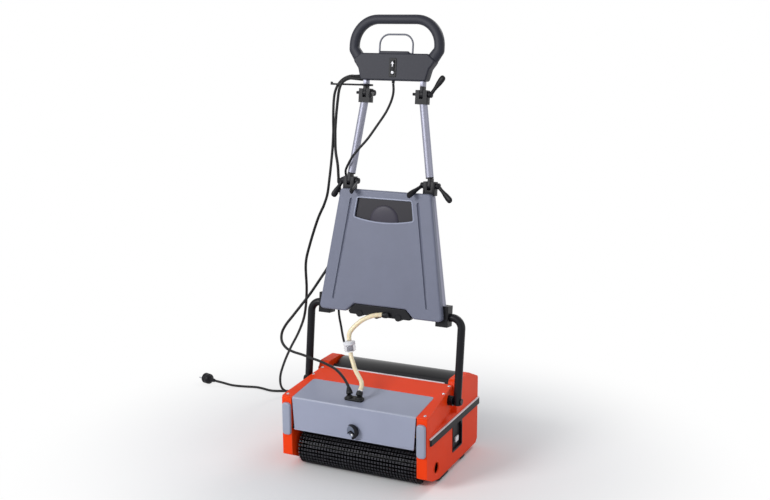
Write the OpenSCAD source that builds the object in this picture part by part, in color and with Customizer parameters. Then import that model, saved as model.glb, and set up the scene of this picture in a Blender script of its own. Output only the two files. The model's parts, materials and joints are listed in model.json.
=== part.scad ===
// Twin-brush floor washer with a folding handle.
// Front faces -Y, +Z is up, and the origin is on the floor under the middle of the base.

/* [Base] */
// Width over the two side housings
base_w = 440; // [430:2:500]
// Depth of the side housings
base_d = 380; // [376:2:400]
// Width of one side housing with its bearing plate
housing_t = 30; // [30:1:34]
// Thickness of the bearing plates
plate_t = 3; // [2:0.5:4]
// Thickness of the moulded housing walls
wall = 3; // [2.5:0.25:3.5]
// Height of the housings' bottom edge above the floor
skirt_z = 12; // [8:1:14]
// Height of the ridge between the front face and the sloping top
ridge_z = 214; // [208:1:230]
// Height of the sloping top at its rear edge
hood_back_z = 238; // [236:1:244]
// Thickness of the top frame
hood_t = 4; // [3:0.5:5]
// Height of the rear cheeks
cheek_z = 250; // [248:1:262]
// Height of the side ledge at the wall
ledge_z = 166; // [164:1:170]
// Depth of the side ledge at its rear end
ledge_in = 15; // [10:1:16]

/* [Cover] */
// Width of the top frame beside the cover
cover_side = 32.5; // [32:0.5:40]
// Depth of the cover's sloping top
cover_v = 127; // [110:1:140]
// Height of the cover's lower edge
cover_z = 120; // [116:1:122]
// Thickness of the cover
cover_t = 3; // [2:0.5:4]
// Height of the turn catch
catch_z = 146; // [144:1:152]

/* [Brushes and drum] */
// Radius of the brushes over the bristles
brush_r = 52; // [48:0.5:53]
// Radius of the brush cores
core_r = 22; // [18:1:26]
// Gap between the bristles and each bearing plate
brush_end = 8; // [8:1:30]
// Distance from one ring of tufts to the next
tuft_pitch = 9.1; // [8:0.1:12]
// Width of the gap between two rings of tufts
tuft_gap = 2.4; // [1.6:0.1:4]
// Distance of each brush axis inside the base's end
brush_in = 66; // [64:1:68]
// Radius of the conveyor drum
drum_r = 70; // [60:1:70]
// Distance of the drum axis in front of the base's back
drum_in = 80; // [78:1:82]
// Depth of the open bay over the drum
drum_bay = 165; // [160:1:168]
// Height of the drum axis
drum_z = 174.5; // [174:0.5:178]
// Radius of the brush and drum shafts
shaft_r = 8; // [6:0.5:9]
// Gap between each shaft and its bush
run_gap = 0.05; // [0.02:0.01:0.1]

/* [Drive] */
// Distance of the motor axis behind the base's front
motor_in = 128; // [126:1:130]
// Height of the motor axis
motor_z = 130; // [129:1:131]
// Radius of the motor casing
motor_r = 42; // [38:1:43]
// Length of the motor casing
motor_l = 220; // [160:5:260]
// Gear module
gear_m = 2.5; // [2:0.25:2.5]
// Teeth on the motor pinion
pinion_n = 16; // [12:2:16]
// Teeth on the countershaft gear
counter_n = 32; // [24:2:32]
// Direction from the motor to the countershaft, below level
counter_a = 35; // [30:1:40]
// Thickness of the drive belts
belt_t = 2; // [1:0.25:2.5]
// Radius of the pulley that drives the front brush
front_drive_r = 14; // [12:0.5:15]
// Radius of the pulley on each brush
brush_pulley_r = 28; // [26:0.5:29]
// Radius of the pulley that drives the drum
drum_drive_r = 12; // [11:0.5:14]
// Radius of the drum's pulley
drum_pulley_r = 45; // [40:1:48]

/* [Recovery tank] */
// Depth of the recovery tank, front to back
tray_d = 64; // [50:1:64]
// Height of the recovery tank
tray_h = 72; // [60:1:73]
// Height of the recovery tank's floor
tray_z = 55; // [54:0.5:58]
// Wall of the recovery tank
tray_t = 3; // [2:0.25:4]

/* [Handle frame] */
// Backward lean of the handle at rest
lean = 6.96; // [5:0.01:10]
// Place of the handle pivot, front to back
pivot_y = -10; // [-14:1:-6]
// Height of the handle pivot
pivot_z = 205; // [200:1:208]
// Distance of the black frame's legs outside the base
leg_out = 14; // [14:1:42]
// Radius of the frame tube
frame_r = 11; // [9:0.5:11]
// Height of the crossbar above the pivot
bar_s = 231; // [225:1:240]
// Bend radius of the frame tube
bend_r = 28; // [24:1:40]
// Radius of the handle pivot pins
pin_r = 5; // [4:0.5:6]
// Radius of the aluminium tubes
tube_r = 11; // [9:0.5:11]
// Wall of the tubes
tube_t = 1.6; // [1:0.2:2.4]
// Distance of the tubes inside the frame's legs at the crossbar
tube_in = 52; // [46:1:56]
// Half the distance between the tubes at the fold
tube_x1 = 123; // [121:1:128]
// Half the distance between the tubes at the head
tube_x2 = 86; // [82:1:90]
// Height of the fold above the pivot
fold_s = 589; // [586:1:600]
// Height of the head hinge above the pivot
head_s = 836; // [820:1:860]
// Distance of the tubes in front of the frame
tube_y = 8; // [6:0.5:9]

/* [Solution tank] */
// Half width of the tank front at its top
tank_x1 = 138; // [130:1:140]
// Half width of the tank front at its bottom
tank_x0 = 190; // [184:1:196]
// Height of the tank's top above the pivot
tank_s1 = 567; // [560:1:570]
// Height of the tank's bottom above the pivot
tank_s0 = 220; // [214:1:226]
// Distance of the tank front in front of the frame
tank_front = 39; // [37:1:42]
// Thickness of the tank's front shield
shield_t = 18; // [16:0.5:18]
// Width of the slant along the shield's front edges
shield_edge = 8; // [2:0.5:10]
// Distance of the tank's back behind the frame
tank_back = 42; // [30:1:50]
// Wall of the tank
tank_wall = 3; // [2:0.25:4]

/* [Head] */
// Half width of the grip ring
ring_x = 142; // [134:1:146]
// Height of the ring's top above the pivot
ring_top = 1051; // [1040:1:1060]
// Height of the head's underside above the pivot
head_bottom = 871; // [866:1:876]
// Thickness of the head
head_t = 34; // [30:1:38]
// Thickness of the grip ring
ring_t = 27; // [22:1:30]
// Radius of the grip ring's upper corners
ring_round = 84; // [70:1:86]
// Radius of the bail wire
bail_r = 2.5; // [1.5:0.1:3]

/* [Cords] */
// Diameter of the mains cord
mains_d = 8; // [8:8]
// Diameter of the motor lead
lead_d = 8; // [8:8]
// Diameter of the control cable
control_d = 7; // [7:7]
// Diameter of the solution hose
hose_d = 13; // [13:13]

/* [Hidden] */
$fn = 48;
eps = 0.01;
gap = 0.3;
seat = 0.05;

front_y = -base_d / 2;
back_y = base_d / 2;
out_x = base_w / 2;
in_x = out_x - housing_t;
cavity_x = in_x + plate_t;
cover_w = base_w - 2 * cover_side;
brush_l = 2 * (in_x - brush_end);
brush_y = back_y - brush_in;
drum_y = back_y - drum_in;
motor_y = front_y + motor_in;
leg_x = out_x + leg_out;
tube_x0 = leg_x - tube_in;
hood_back_y = back_y - drum_bay;
slope_run = hood_back_y - front_y;
slope_a = atan2(hood_back_z - ridge_z, slope_run);
slope_l = norm([hood_back_z - ridge_z, slope_run]);
ledge_y0 = front_y + 25;
ledge_y1 = hood_back_y - 3;
strip_z0 = 130;
strip_z1 = 151;
strip_t = 5;
pad_z0 = 102;
pad_z1 = 196;

brush_z = brush_r;
counter_d = gear_m * (pinion_n + counter_n) / 2;
counter_y = motor_y + counter_d * cos(counter_a);
counter_z = motor_z - counter_d * sin(counter_a);
ratio_front = front_drive_r / brush_pulley_r;
counter_drive_r = brush_pulley_r * ratio_front * counter_n / pinion_n;
belt_w = 6;
plane_gap = 2;
plane1 = cavity_x + 1;
plane2 = plane1 + belt_w + plane_gap;
plane3 = plane2 + belt_w + plane_gap;
shaft_end = plane3 + belt_w + 0.5;
bush_r = shaft_r + 5;
bush_l = 7;

tray_y0 = -4;
tray_y1 = tray_y0 + tray_d;
tray_cut = 10;
tray_clear = 4;
tray_x0 = -in_x + 6;
tray_x1 = out_x - 6;

tube_lean_low = atan2(tube_x0 - tube_x1, fold_s - bar_s);
tube_lean_top = atan2(tube_x1 - tube_x2, head_s - fold_s);
collar_w = 34;
collar_d = 24;
collar_up = 11.5;
collar_down = 27;
tongue_t = 10;
tongue_r = 12;
bolt_r = 4;
tank_y0 = -tank_front;
shield_y = tank_y0 + shield_t;
shield_lean = atan2(tank_x0 - tank_x1, tank_s1 - tank_s0);
head_mid = -tube_y;

// The mains cord from the head, behind the hook and down to the coil on the floor.
mains_route = [[-126, 96, 1080], [-140, 97, 1080], [-154, 97, 1076], [-168, 96, 1068],
  [-180, 94, 1054], [-188, 91, 1034], [-191, 88, 1008], [-190, 82, 968], [-187, 76, 924],
  [-186, 68, 880], [-187, 60, 836], [-190, 53.5, 790.5], [-197, 52, 744], [-211, 54, 709],
  [-236, 62, 665], [-270, 74, 585], [-291, 86, 524], [-301, 106, 438], [-324, 132, 354],
  [-366, 168, 284], [-420, 206, 212], [-466, 242, 146], [-500, 272, 84], [-512, 300, 34],
  [-500, 330, 8], [-470, 352, 4], [-420, 364, 4], [-340, 366, 4], [-240, 362, 4], [-160, 352, 4],
  [-106, 350, 4]];
// The mains cord from the coil out to the plug.
mains_tail_route = [[-106, 378, 4], [-180, 380, 4], [-260, 386, 4], [-360, 388, 4],
  [-450, 378, 4], [-520, 354, 4], [-570, 334, 4], [-610, 340, 4], [-640, 342, 4],
  [-680, 331, 4], [-720, 320, 6], [-750, 313, 12], [-781, 306, 18]];
coil_x = -20;
coil_y = 364;
coil_mid_r = 72;
coil_section = 34;
// The motor lead from the head, in front of the hook, behind the tank and round to the gland.
lead_route = [[-126, 86, 1074], [-138, 85, 1074], [-150, 80, 1069], [-159, 76, 1060],
  [-166, 74, 1042], [-171, 74, 1012], [-176, 73, 968], [-178, 70, 926], [-174, 63, 873],
  [-165, 58, 831], [-162, 57, 790], [-160, 64, 750], [-160, 80, 700], [-164, 88, 640],
  [-180, 84, 580], [-203, 64, 530], [-222, 44, 492], [-240, 22, 456], [-254, 6, 432],
  [-286, -6, 388], [-306, -14, 360], [-316, -20, 336], [-312, -28, 314], [-292, -38, 299],
  [-264, -46, 293], [-229, -56, 292], [-191, -66, 289], [-150, -78, 286], [-100, -98, 280],
  [-62, -122, 268], [-36, -142, 252], [-29, -149, 237]];
// The control cable from the head to the tie at the fold, behind the tank and down to the valve.
control_route = [[-1, 80, 1063.3], [0, 80, 1048], [-1, 78, 1032], [-6, 72, 1010], [-18, 64, 982],
  [-38, 55, 950], [-64, 47, 912], [-88, 40, 884], [-108, 38, 860], [-128, 42, 829],
  [-139, 56, 815], [-144, 68, 800], [-147, 71, 785], [-150, 71, 752], [-152, 84, 700], [-152, 90, 640], [-153, 86, 580],
  [-156, 76, 520], [-158, 62, 470], [-158, 42, 432], [-146, 18, 404], [-124, -12, 378],
  [-106, -36, 356], [-92, -54, 344]];
// The solution hose from the tank valve to the filter, and from the filter to the gland.
hose_top_route = [[14, -24, 431], [2, -30, 431], [-16, -38, 427], [-38, -46, 416],
  [-58, -54, 398], [-72, -60, 378], [-73, -62.5, 357.5]];
hose_low_route = [[-66.7, -66.5, 322], [-62, -71, 311], [-52, -79, 297], [-42, -88, 283],
  [-24, -102, 270], [-8, -118, 262], [0, -132, 254], [1, -142, 246], [1, -149, 236]];
filter_p0 = [-73, -63, 356];
filter_p1 = [-67, -66, 324];
gland_x0 = -29;
gland_x1 = 1;
gland_v = 41.3;
gland_h = 16;
spray_y = front_y + gland_v * cos(slope_a) + 1;
spray_z = 145;
scrape_a = 35.2;
mains_y = -0.8;
mains_s = head_bottom + 10.4;
lead_y = -10;
lead_s = head_bottom + 3.2;
control_y = -14.8;
outlet_y = -41.3;
outlet_s = bar_s - 8.4;
bail_s = head_bottom + 67;
switch_s = head_bottom + 35;

// ---------- geometry helpers ----------

// A polygon's corners rounded to radius r, or to one radius per corner.
function rounded(p, r, n = 5) = let(m = len(p)) [for (i = [0:m - 1])
  let(
    b = p[i],
    u = (p[(i + m - 1) % m] - b) / norm(p[(i + m - 1) % m] - b),
    v = (p[(i + 1) % m] - b) / norm(p[(i + 1) % m] - b),
    rr = is_list(r) ? r[i] : r,
    half = acos(max(-1, min(1, u * v))) / 2
  )
  each (rr <= 0 || half > 89.9) ? [b] : arc_between(b + u * rr / tan(half), b + v * rr / tan(half),
    b + (u + v) / norm(u + v) * rr / sin(half), n)];
function turn(a) = a > 180 ? a - 360 : a < -180 ? a + 360 : a;
function arc_between(a, b, c, n) = let(
    a0 = atan2(a[1] - c[1], a[0] - c[0]),
    da = turn(atan2(b[1] - c[1], b[0] - c[0]) - a0),
    r = norm(a - c)
  ) [for (k = [0:n]) c + r * [cos(a0 + da * k / n), sin(a0 + da * k / n)]];

// A flat shape drawn in Y and Z, and made solid from x0 to x1.
module yz(x0, x1) translate([x0, 0, 0]) rotate([90, 0, 90]) linear_extrude(x1 - x0) children();
// A flat shape drawn in X and Z, and made solid from y0 to y1.
module xz(y0, y1) translate([0, y1, 0]) rotate([90, 0, 0]) linear_extrude(y1 - y0) children();
module along_x(x0, x1, r) translate([x0, 0, 0]) rotate([0, 90, 0]) cylinder(h = x1 - x0, r = r);
module along_y(y0, y1, r) translate([0, y1, 0]) rotate([90, 0, 0]) cylinder(h = y1 - y0, r = r);
module at_yz(y, z) translate([0, y, z]) children();
module both_sides() {
  children();
  mirror([1, 0, 0]) children();
}
// A round bar from one point to another.
module bar(a, b, r) {
  d = b - a;
  translate(a) rotate([0, acos(d[2] / norm(d)), atan2(d[1], d[0])]) cylinder(h = norm(d), r = r);
}
// The frame of the sloping top: Y runs up the slope and Z stands square to it.
module on_slope() translate([0, front_y, ridge_z]) rotate([slope_a, 0, 0]) children();
// The frame of the handle: Z runs up the handle from the pivot.
module on_handle() translate([0, pivot_y, pivot_z]) rotate([-lean, 0, 0]) children();
module on_fold() translate([0, -tube_y, fold_s]) children();
module on_head() translate([0, -tube_y, head_s]) children();

// A smooth curve through a route's points, and a tube of eight sides swept along it.
function knot(p, i) = p[max(0, min(len(p) - 1, i))];
function curve_point(p, i, t) = let(a = knot(p, i - 1), b = knot(p, i), c = knot(p, i + 1), d = knot(p, i + 2))
  0.5 * (2 * b + (c - a) * t + (2 * a - 5 * b + 4 * c - d) * t * t + (3 * b - a - 3 * c + d) * t * t * t);
function curve(p, n) = [for (i = [0:len(p) - 2]) each [for (k = [0:n - 1]) curve_point(p, i, k / n)], p[len(p) - 1]];
function way(c, i) = let(d = knot(c, i + 1) - knot(c, i - 1)) d / norm(d);
function side_of(w, up) = let(s = cross(w, up)) s / norm(s);
function carried(c, i, s) = let(w = way(c, i), q = s - (s * w) * w) q / norm(q);
function sides(c, i, s) = i >= len(c) ? [] : let(q = carried(c, i, s)) concat([q], sides(c, i + 1, q));
module swept(route, d, n = 3, m = 8) {
  c = curve(route, n);
  s = sides(c, 0, side_of(way(c, 0), [0.13, 0.97, 0.21]));
  k = len(c);
  points = [for (i = [0:k - 1]) each [for (j = [0:m - 1])
    c[i] + d / 2 * (cos(360 * j / m) * s[i] + sin(360 * j / m) * cross(way(c, i), s[i]))]];
  faces = concat(
    [[for (j = [0:m - 1]) j]],
    [[for (j = [m - 1:-1:0]) (k - 1) * m + j]],
    [for (i = [0:k - 2]) each [for (j = [0:m - 1])
      [i * m + j, (i + 1) * m + j, (i + 1) * m + (j + 1) % m, i * m + (j + 1) % m]]]);
  polyhedron(points = points, faces = faces, convexity = 6);
}

// ---------- base ----------

function under_hood(y) = top_z(y) - hood_t / cos(slope_a) - seat;
function top_z(y) = ridge_z + (y - front_y) * tan(slope_a);
// The outline of a side housing in Y and Z, moved inwards by i.
function housing_outline(i) = rounded([
  [front_y + i, 42 + 0.4 * i], [front_y + 40 + 0.4 * i, 22 + i], [front_y + 84, skirt_z + i],
  [back_y - 12, skirt_z + i], [back_y - i, skirt_z + 12], [back_y - i, 216 - 0.6 * i],
  [drum_y + 2, cheek_z - i], [hood_back_y + 9 + i, cheek_z - i],
  [hood_back_y + 1 + i, under_hood(hood_back_y + 1) - i], [front_y + i, under_hood(front_y) - i]],
  [4, 20, 20, 8, 6, 10, 30, 12, 0, 3]);

module bearing_plate() {
  difference() {
    yz(in_x, cavity_x) polygon(housing_outline(0));
    for (p = [[-brush_y, brush_z], [brush_y, brush_z], [drum_y, drum_z]])
      at_yz(p[0], p[1]) along_x(in_x - 1, cavity_x + 1, bush_r + seat);
  }
}

module bearing_plates() color("orangered") {
  difference() {
    bearing_plate();
    yz(in_x - 1, cavity_x + 1) polygon(tray_profile(0.6));
  }
  difference() {
    mirror([1, 0, 0]) bearing_plate();
    at_yz(motor_y, motor_z) along_x(-cavity_x - 1, -in_x + 1, shaft_r + 4);
    at_yz(counter_y, counter_z) along_x(-cavity_x - 1, -in_x + 1, bush_r + seat);
  }
}

// The space outboard of the sloping side wall, above the ledge.
module ledge_space() {
  translate([0, 0, ledge_z]) linear_extrude(200) polygon([[out_x + 9, ledge_y0], [out_x, ledge_y0],
    [out_x - ledge_in, ledge_y1], [out_x + 9, ledge_y1]]);
  intersection() {
    translate([out_x - ledge_in, 0, ledge_z]) rotate([0, 25, 0]) translate([-20, -300, 0]) cube([60, 600, 60]);
    translate([0, 0, ledge_z - 20]) linear_extrude(60) polygon([[out_x + 9, ledge_y0],
      [out_x, ledge_y0], [out_x - ledge_in, ledge_y1], [out_x + 9, ledge_y1]]);
  }
}

module housing_shell() {
  difference() {
    yz(cavity_x, out_x) polygon(housing_outline(0));
    ledge_space();
    intersection() {
      yz(cavity_x - 1, out_x - wall) polygon(housing_outline(wall));
      union() {
        translate([0, front_y, 0]) cube([out_x, base_d, ledge_z - 12]);
        translate([0, front_y, 0]) cube([out_x - ledge_in - wall, base_d, 300]);
        translate([0, ledge_y1 + wall, 0]) cube([out_x, base_d, 300]);
      }
    }
  }
}

module side_housing_left() color("orangered") mirror([1, 0, 0]) housing_shell();

module side_housing_right() color("orangered") difference() {
  housing_shell();
  yz(out_x - wall - 1, out_x + 1) polygon(bezel_outline(0));
  at_yz(-brush_y, brush_z) along_x(out_x - wall - 1, out_x + 1, 16);
}

module chassis_bars() color("dimgray") {
  for (p = [[front_y + 10, cover_z + 4], [back_y - 12, 110], [hood_back_y - 14, hood_back_z - 18]])
    at_yz(p[0], p[1]) along_x(-in_x, in_x, 6);
  for (y = [tray_y0 + 1, tray_y1 - 11])
    translate([-in_x, y, tray_z - tray_clear - 1]) cube([2 * in_x, 10, tray_clear + 1 - gap]);
}

module hood_frame() color("orangered") on_slope() {
  translate([0, 0, -hood_t]) linear_extrude(hood_t) difference() {
    polygon(rounded([[-out_x, 0], [out_x, 0], [out_x, 25], [out_x - ledge_in, slope_l - 3],
      [out_x - ledge_in, slope_l], [ledge_in - out_x, slope_l], [ledge_in - out_x, slope_l - 3],
      [-out_x, 25]], [3, 3, 0, 0, 3, 3, 0, 0]));
    polygon(rounded([[-cover_w / 2 - gap, -1], [cover_w / 2 + gap, -1],
      [cover_w / 2 + gap, cover_v + gap], [-cover_w / 2 - gap, cover_v + gap]], [0, 0, 8 - gap, 8 - gap]));
  }
  translate([-in_x + gap, slope_l - 4, -24]) cube([2 * in_x - 2 * gap, 4, 24 - hood_t]);
}

// A point of the cover's section: v runs up the slope and w stands square to it.
function slope_point(v, w) = [front_y + v * cos(slope_a) - w * sin(slope_a),
  ridge_z + v * sin(slope_a) + w * cos(slope_a)];

module front_cover() color("slategray") difference() {
  intersection() {
    yz(-out_x, out_x) polygon(rounded([[front_y - 2, cover_z], [front_y + cover_t, cover_z],
      [front_y + cover_t, ridge_z + cover_t * (tan(slope_a) - 1 / cos(slope_a))],
      slope_point(cover_v, -cover_t), slope_point(cover_v, 0), [front_y, ridge_z],
      [front_y, cover_z + 4], [front_y - 2, cover_z + 4]], [0, 0, 1, 0, 0, 4, 0, 0]));
    xz(front_y - 9, back_y) polygon([[6 - cover_w / 2, 0], [cover_w / 2 - 6, 0],
      [cover_w / 2 - 6, cover_z], [cover_w / 2, ridge_z - 2], [cover_w / 2, cheek_z + 9],
      [-cover_w / 2, cheek_z + 9], [-cover_w / 2, ridge_z - 2], [6 - cover_w / 2, cover_z]]);
    linear_extrude(cheek_z + 9) polygon(rounded([[-out_x, front_y - 9], [out_x, front_y - 9],
      [cover_w / 2, front_y], [cover_w / 2, slope_point(cover_v, 0)[0] + 0.1],
      [-cover_w / 2, slope_point(cover_v, 0)[0] + 0.1], [-cover_w / 2, front_y]], [0, 0, 0, 8, 8, 0]));
  }
  at_yz(0, catch_z) along_y(front_y - 9, front_y + 9, pin_r + run_gap);
  on_slope() for (x = [gland_x0, gland_x1]) translate([x, gland_v, -9]) cylinder(h = 18, r = 7 + seat);
}

module corner_pads() color("lightsteelblue") both_sides() intersection() {
  translate([0, 0, pad_z0]) linear_extrude(pad_z1 - pad_z0) polygon(rounded([
    [out_x - 29, front_y], [out_x - 29, front_y - 8], [out_x - 3, front_y - 8], [out_x - 3, front_y]], [0, 6, 6, 0]));
  xz(front_y - 9, front_y + 1) polygon(rounded([[out_x - 29, pad_z0], [out_x - 3, pad_z0],
    [out_x - 3, pad_z1], [out_x - 29, pad_z1]], 9));
};

module bumper_strips() color("black") both_sides() {
  translate([0, 0, strip_z0]) linear_extrude(strip_z1 - strip_z0)
    polygon(rounded([[out_x, front_y + 17], [out_x + strip_t, front_y + 21],
      [out_x + strip_t, back_y + 1], [out_x + strip_t - 3, back_y + 4], [out_x - 12, back_y + 4],
      [out_x - 12, back_y], [out_x, back_y]], [0, 2, 2, 2, 0, 0, 0]));
}

module side_skirts() color("black") both_sides() for (y = [[-brush_y + 26, 66], [brush_y - 58, 28]])
  translate([in_x + 6, y[0], 3]) cube([housing_t - 8, y[1], skirt_z - 3]);

module cable_gland() color("black") on_slope() {
  linear_extrude(6) polygon(rounded([[gland_x0 - 13, gland_v - 12], [gland_x1 + 13, gland_v - 12],
    [gland_x1 + 13, gland_v + 12], [gland_x0 - 13, gland_v + 12]], 8));
  for (x = [gland_x0, gland_x1]) translate([x, gland_v, -9]) cylinder(h = 9, r = 7);
  translate([gland_x0, gland_v, 0]) cylinder(h = gland_h, r = 9);
  translate([gland_x1, gland_v, 0]) cylinder(h = gland_h, r = 10);
}

module handle_pivots() color("black") both_sides() {
  intersection() {
    at_yz(pivot_y, pivot_z) along_x(out_x - 2 * ledge_in, leg_x - frame_r - gap, 14);
    ledge_space();
  }
  at_yz(pivot_y, pivot_z) {
    along_x(leg_x - frame_r - 1, leg_x + frame_r + 1, pin_r);
    along_x(leg_x + frame_r + gap, leg_x + frame_r + 2.5, 9);
  }
}

function tray_profile(o) = [[tray_y0 - o, tray_z - o], [tray_y1 + o, tray_z - o],
  [tray_y1 + o, tray_z + tray_h - 17 + 0.4 * o], [tray_y1 - tray_cut + 0.4 * o, tray_z + tray_h + o],
  [tray_y0 - o, tray_z + tray_h + o]];
function bezel_outline(o) = rounded([[tray_y0 - 5 + o, tray_z - 5 + o], [tray_y1 + 5 - o, tray_z - 5 + o],
  [tray_y1 + 5 - o, strip_z0 - 1 - o], [tray_y0 - 5 + o, strip_z0 - 1 - o]], 6);

module tank_bezel() color("black") difference() {
  yz(cavity_x, out_x + 1) polygon(bezel_outline(0));
  yz(cavity_x - 1, out_x + 2) polygon(tray_profile(0.6));
}

module recovery_tank() color("dimgray") difference() {
  yz(tray_x0, tray_x1) polygon(tray_profile(0));
  yz(tray_x0 + tray_t, tray_x1 - tray_t) polygon(tray_profile(-tray_t));
  translate([tray_x0 + tray_t, tray_y0 + tray_t, tray_z + tray_h - tray_t - 1])
    cube([in_x - 10 - tray_x0, tray_d - 2 * tray_t - tray_cut, 9]);
  yz(tray_x1 - 1, tray_x1 + 1) polygon(rounded([[tray_y0 + 6, tray_z + 6], [tray_y1 - 8, tray_z + 6],
    [tray_y1 - 8, tray_z + 38], [tray_y0 + 6, tray_z + 38]], 4));
}

module tank_latch() color("white") translate([tray_x1 - 1 + gap, tray_y0 + 27, tray_z + 14]) {
  cube([5, 22, 16]);
}

module drum_scraper() color("silver") {
  tip = [drum_y - (drum_r + 0.5) * sin(scrape_a), drum_z + (drum_r + 0.5) * cos(scrape_a)];
  foot = [hood_back_y + 9, tip[1] - 14];
  yz(-in_x, in_x) polygon([tip, tip + [-0.8, 1.8], foot + [0, 2], foot + [-2, 1], foot + [-2, -24],
    foot + [0, -24], foot]);
}

module spray_bar() color("peru") {
  at_yz(spray_y, spray_z) along_x(-in_x, in_x, 6);
  translate([gland_x1, spray_y, spray_z]) cylinder(h = 61, r = 5);
  for (i = [-3:3]) translate([50 * i, spray_y, spray_z - 9]) cylinder(h = 5, r = 3);
}

module motor_casing() color("gray") at_yz(motor_y, motor_z) difference() {
  union() {
    along_x(-in_x, -in_x + motor_l, motor_r);
    for (i = [1:7]) along_x(-in_x + 20 + 22 * i, -in_x + 24 + 22 * i, motor_r + 2);
  }
  along_x(-in_x + 12, -in_x + motor_l - 12, motor_r - 5);
  along_x(-in_x - 1, -in_x + 13, shaft_r + run_gap);
  along_x(-in_x + motor_l - 13, -in_x + motor_l - 6, shaft_r + run_gap);
}

// A belt round two pulleys, lying just clear of both.
module belt(a, ra, b, rb, x0) yz(-x0 - belt_w, -x0) difference() {
  hull() {
    translate(a) circle(r = ra + belt_t + 0.3);
    translate(b) circle(r = rb + belt_t + 0.3);
  }
  hull() {
    translate(a) circle(r = ra + 0.3);
    translate(b) circle(r = rb + 0.3);
  }
}

module drive_belts() color("black") {
  belt([motor_y, motor_z], drum_drive_r, [drum_y, drum_z], drum_pulley_r, plane1);
  belt([motor_y, motor_z], front_drive_r, [-brush_y, brush_z], brush_pulley_r, plane2);
  belt([counter_y, counter_z], counter_drive_r, [brush_y, brush_z], brush_pulley_r, plane2);
}

module bush(x0, x1) difference() {
  along_x(x0, x1, bush_r);
  along_x(x0 - 1, x1 + 1, shaft_r + run_gap);
}

module shaft_bushes() color("goldenrod") {
  for (p = [[-brush_y, brush_z], [brush_y, brush_z], [drum_y, drum_z]]) at_yz(p[0], p[1])
    both_sides() bush(cavity_x - bush_l, cavity_x);
  at_yz(counter_y, counter_z) bush(-cavity_x, -cavity_x + bush_l + 1);
}

module housing_screws() color("silver") on_slope() for (s = [-1, 1])
  for (p = [[out_x - ledge_in - 5, slope_l - 12], [out_x - ledge_in - 2, slope_l - 62], [out_x - 12, 14]])
    translate([s * p[0], p[1], 0]) cylinder(h = 1.5, r = 4);

// ---------- moving pieces of the base ----------

// A spur gear with straight-sided teeth and ample backlash; tooth 0 points along +X.
module spur(n, w) {
  rp = gear_m * n / 2;
  pitch = 360 / n;
  linear_extrude(w) polygon([for (i = [0:n - 1]) each [for (q = [[-0.36, rp - 1.1 * gear_m],
    [-0.21, rp], [-0.10, rp + 0.75 * gear_m], [0.10, rp + 0.75 * gear_m], [0.21, rp],
    [0.36, rp - 1.1 * gear_m]]) q[1] * [cos(pitch * (i + q[0])), sin(pitch * (i + q[0]))]]]);
}
// A gear on an axis along X, with a tooth turned by a from +Y towards +Z.
module spur_x(x0, n, w, a) translate([x0, 0, 0]) rotate([90, 0, 90]) rotate([0, 0, a]) spur(n, w);

module motor_rotor() color("silver") at_yz(motor_y, motor_z) {
  along_x(-shaft_end, -in_x + motor_l - 7, shaft_r);
  along_x(-in_x + 24, -in_x + motor_l - 24, motor_r - 9);
  difference() {
    along_x(-plane1 - belt_w, -plane1, drum_drive_r);
    along_x(-plane1 - belt_w - 1, -plane1 + 1, shaft_r);
  }
  difference() {
    along_x(-plane2 - belt_w, -plane2, front_drive_r);
    along_x(-plane2 - belt_w - 1, -plane2 + 1, shaft_r);
  }
  difference() {
    spur_x(-plane3 - belt_w, pinion_n, belt_w, -counter_a);
    along_x(-plane3 - belt_w - 1, -plane3 + 1, shaft_r);
  }
}

module counter_gear() color("silver") at_yz(counter_y, counter_z) {
  along_x(-shaft_end, -cavity_x + bush_l + 0.5, shaft_r);
  difference() {
    along_x(-plane2 - belt_w, -plane2, counter_drive_r);
    along_x(-plane2 - belt_w - 1, -plane2 + 1, shaft_r);
  }
  difference() {
    spur_x(-plane3 - belt_w, counter_n, belt_w, 180 - counter_a + 180 / counter_n);
    along_x(-plane3 - belt_w - 1, -plane3 + 1, shaft_r);
  }
}

module brush_core() {
  along_x(-shaft_end, cavity_x + 12, shaft_r);
  along_x(-in_x + 6, in_x - 6, core_r);
}
// The bristles: rings of tufts with a narrow gap between them.
module bristles() {
  n = floor((brush_l + tuft_gap) / tuft_pitch);
  x0 = -(n * tuft_pitch - tuft_gap) / 2;
  gap_r = brush_r - 12;
  rotate([0, 90, 0]) rotate_extrude() polygon(concat([[core_r, x0]],
    [for (i = [0:n - 1]) let(a = x0 + i * tuft_pitch, b = a + tuft_pitch - tuft_gap)
      each [[i == 0 ? core_r : gap_r, a], [brush_r, a], [brush_r, b], [i == n - 1 ? core_r : gap_r, b]]]));
}
module brush_pulley() difference() {
  along_x(-plane2 - belt_w, -plane2, brush_pulley_r);
  along_x(-plane2 - belt_w - 1, -plane2 + 1, shaft_r);
}

module front_brush_core() color("dimgray") at_yz(-brush_y, brush_z) brush_core();
module front_brush_bristles() color("black") at_yz(-brush_y, brush_z) bristles();
module front_brush_pulley() color("silver") at_yz(-brush_y, brush_z) brush_pulley();
module rear_brush_core() color("dimgray") at_yz(brush_y, brush_z) brush_core();
module rear_brush_bristles() color("black") at_yz(brush_y, brush_z) bristles();
module rear_brush_pulley() color("silver") at_yz(brush_y, brush_z) brush_pulley();

module conveyor_drum() color("darkslategray") at_yz(drum_y, drum_z) {
  difference() {
    along_x(-in_x + 6, in_x - 6, drum_r);
    along_x(-in_x + 10, in_x - 10, drum_r - 4);
    for (a = [0:90:270]) rotate([a, 0, 0]) at_yz(40, 0) along_x(-in_x, in_x, 12);
    along_x(-in_x, in_x, shaft_r);
  }
  along_x(-plane1 - belt_w - 1, cavity_x + 12, shaft_r);
}

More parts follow.
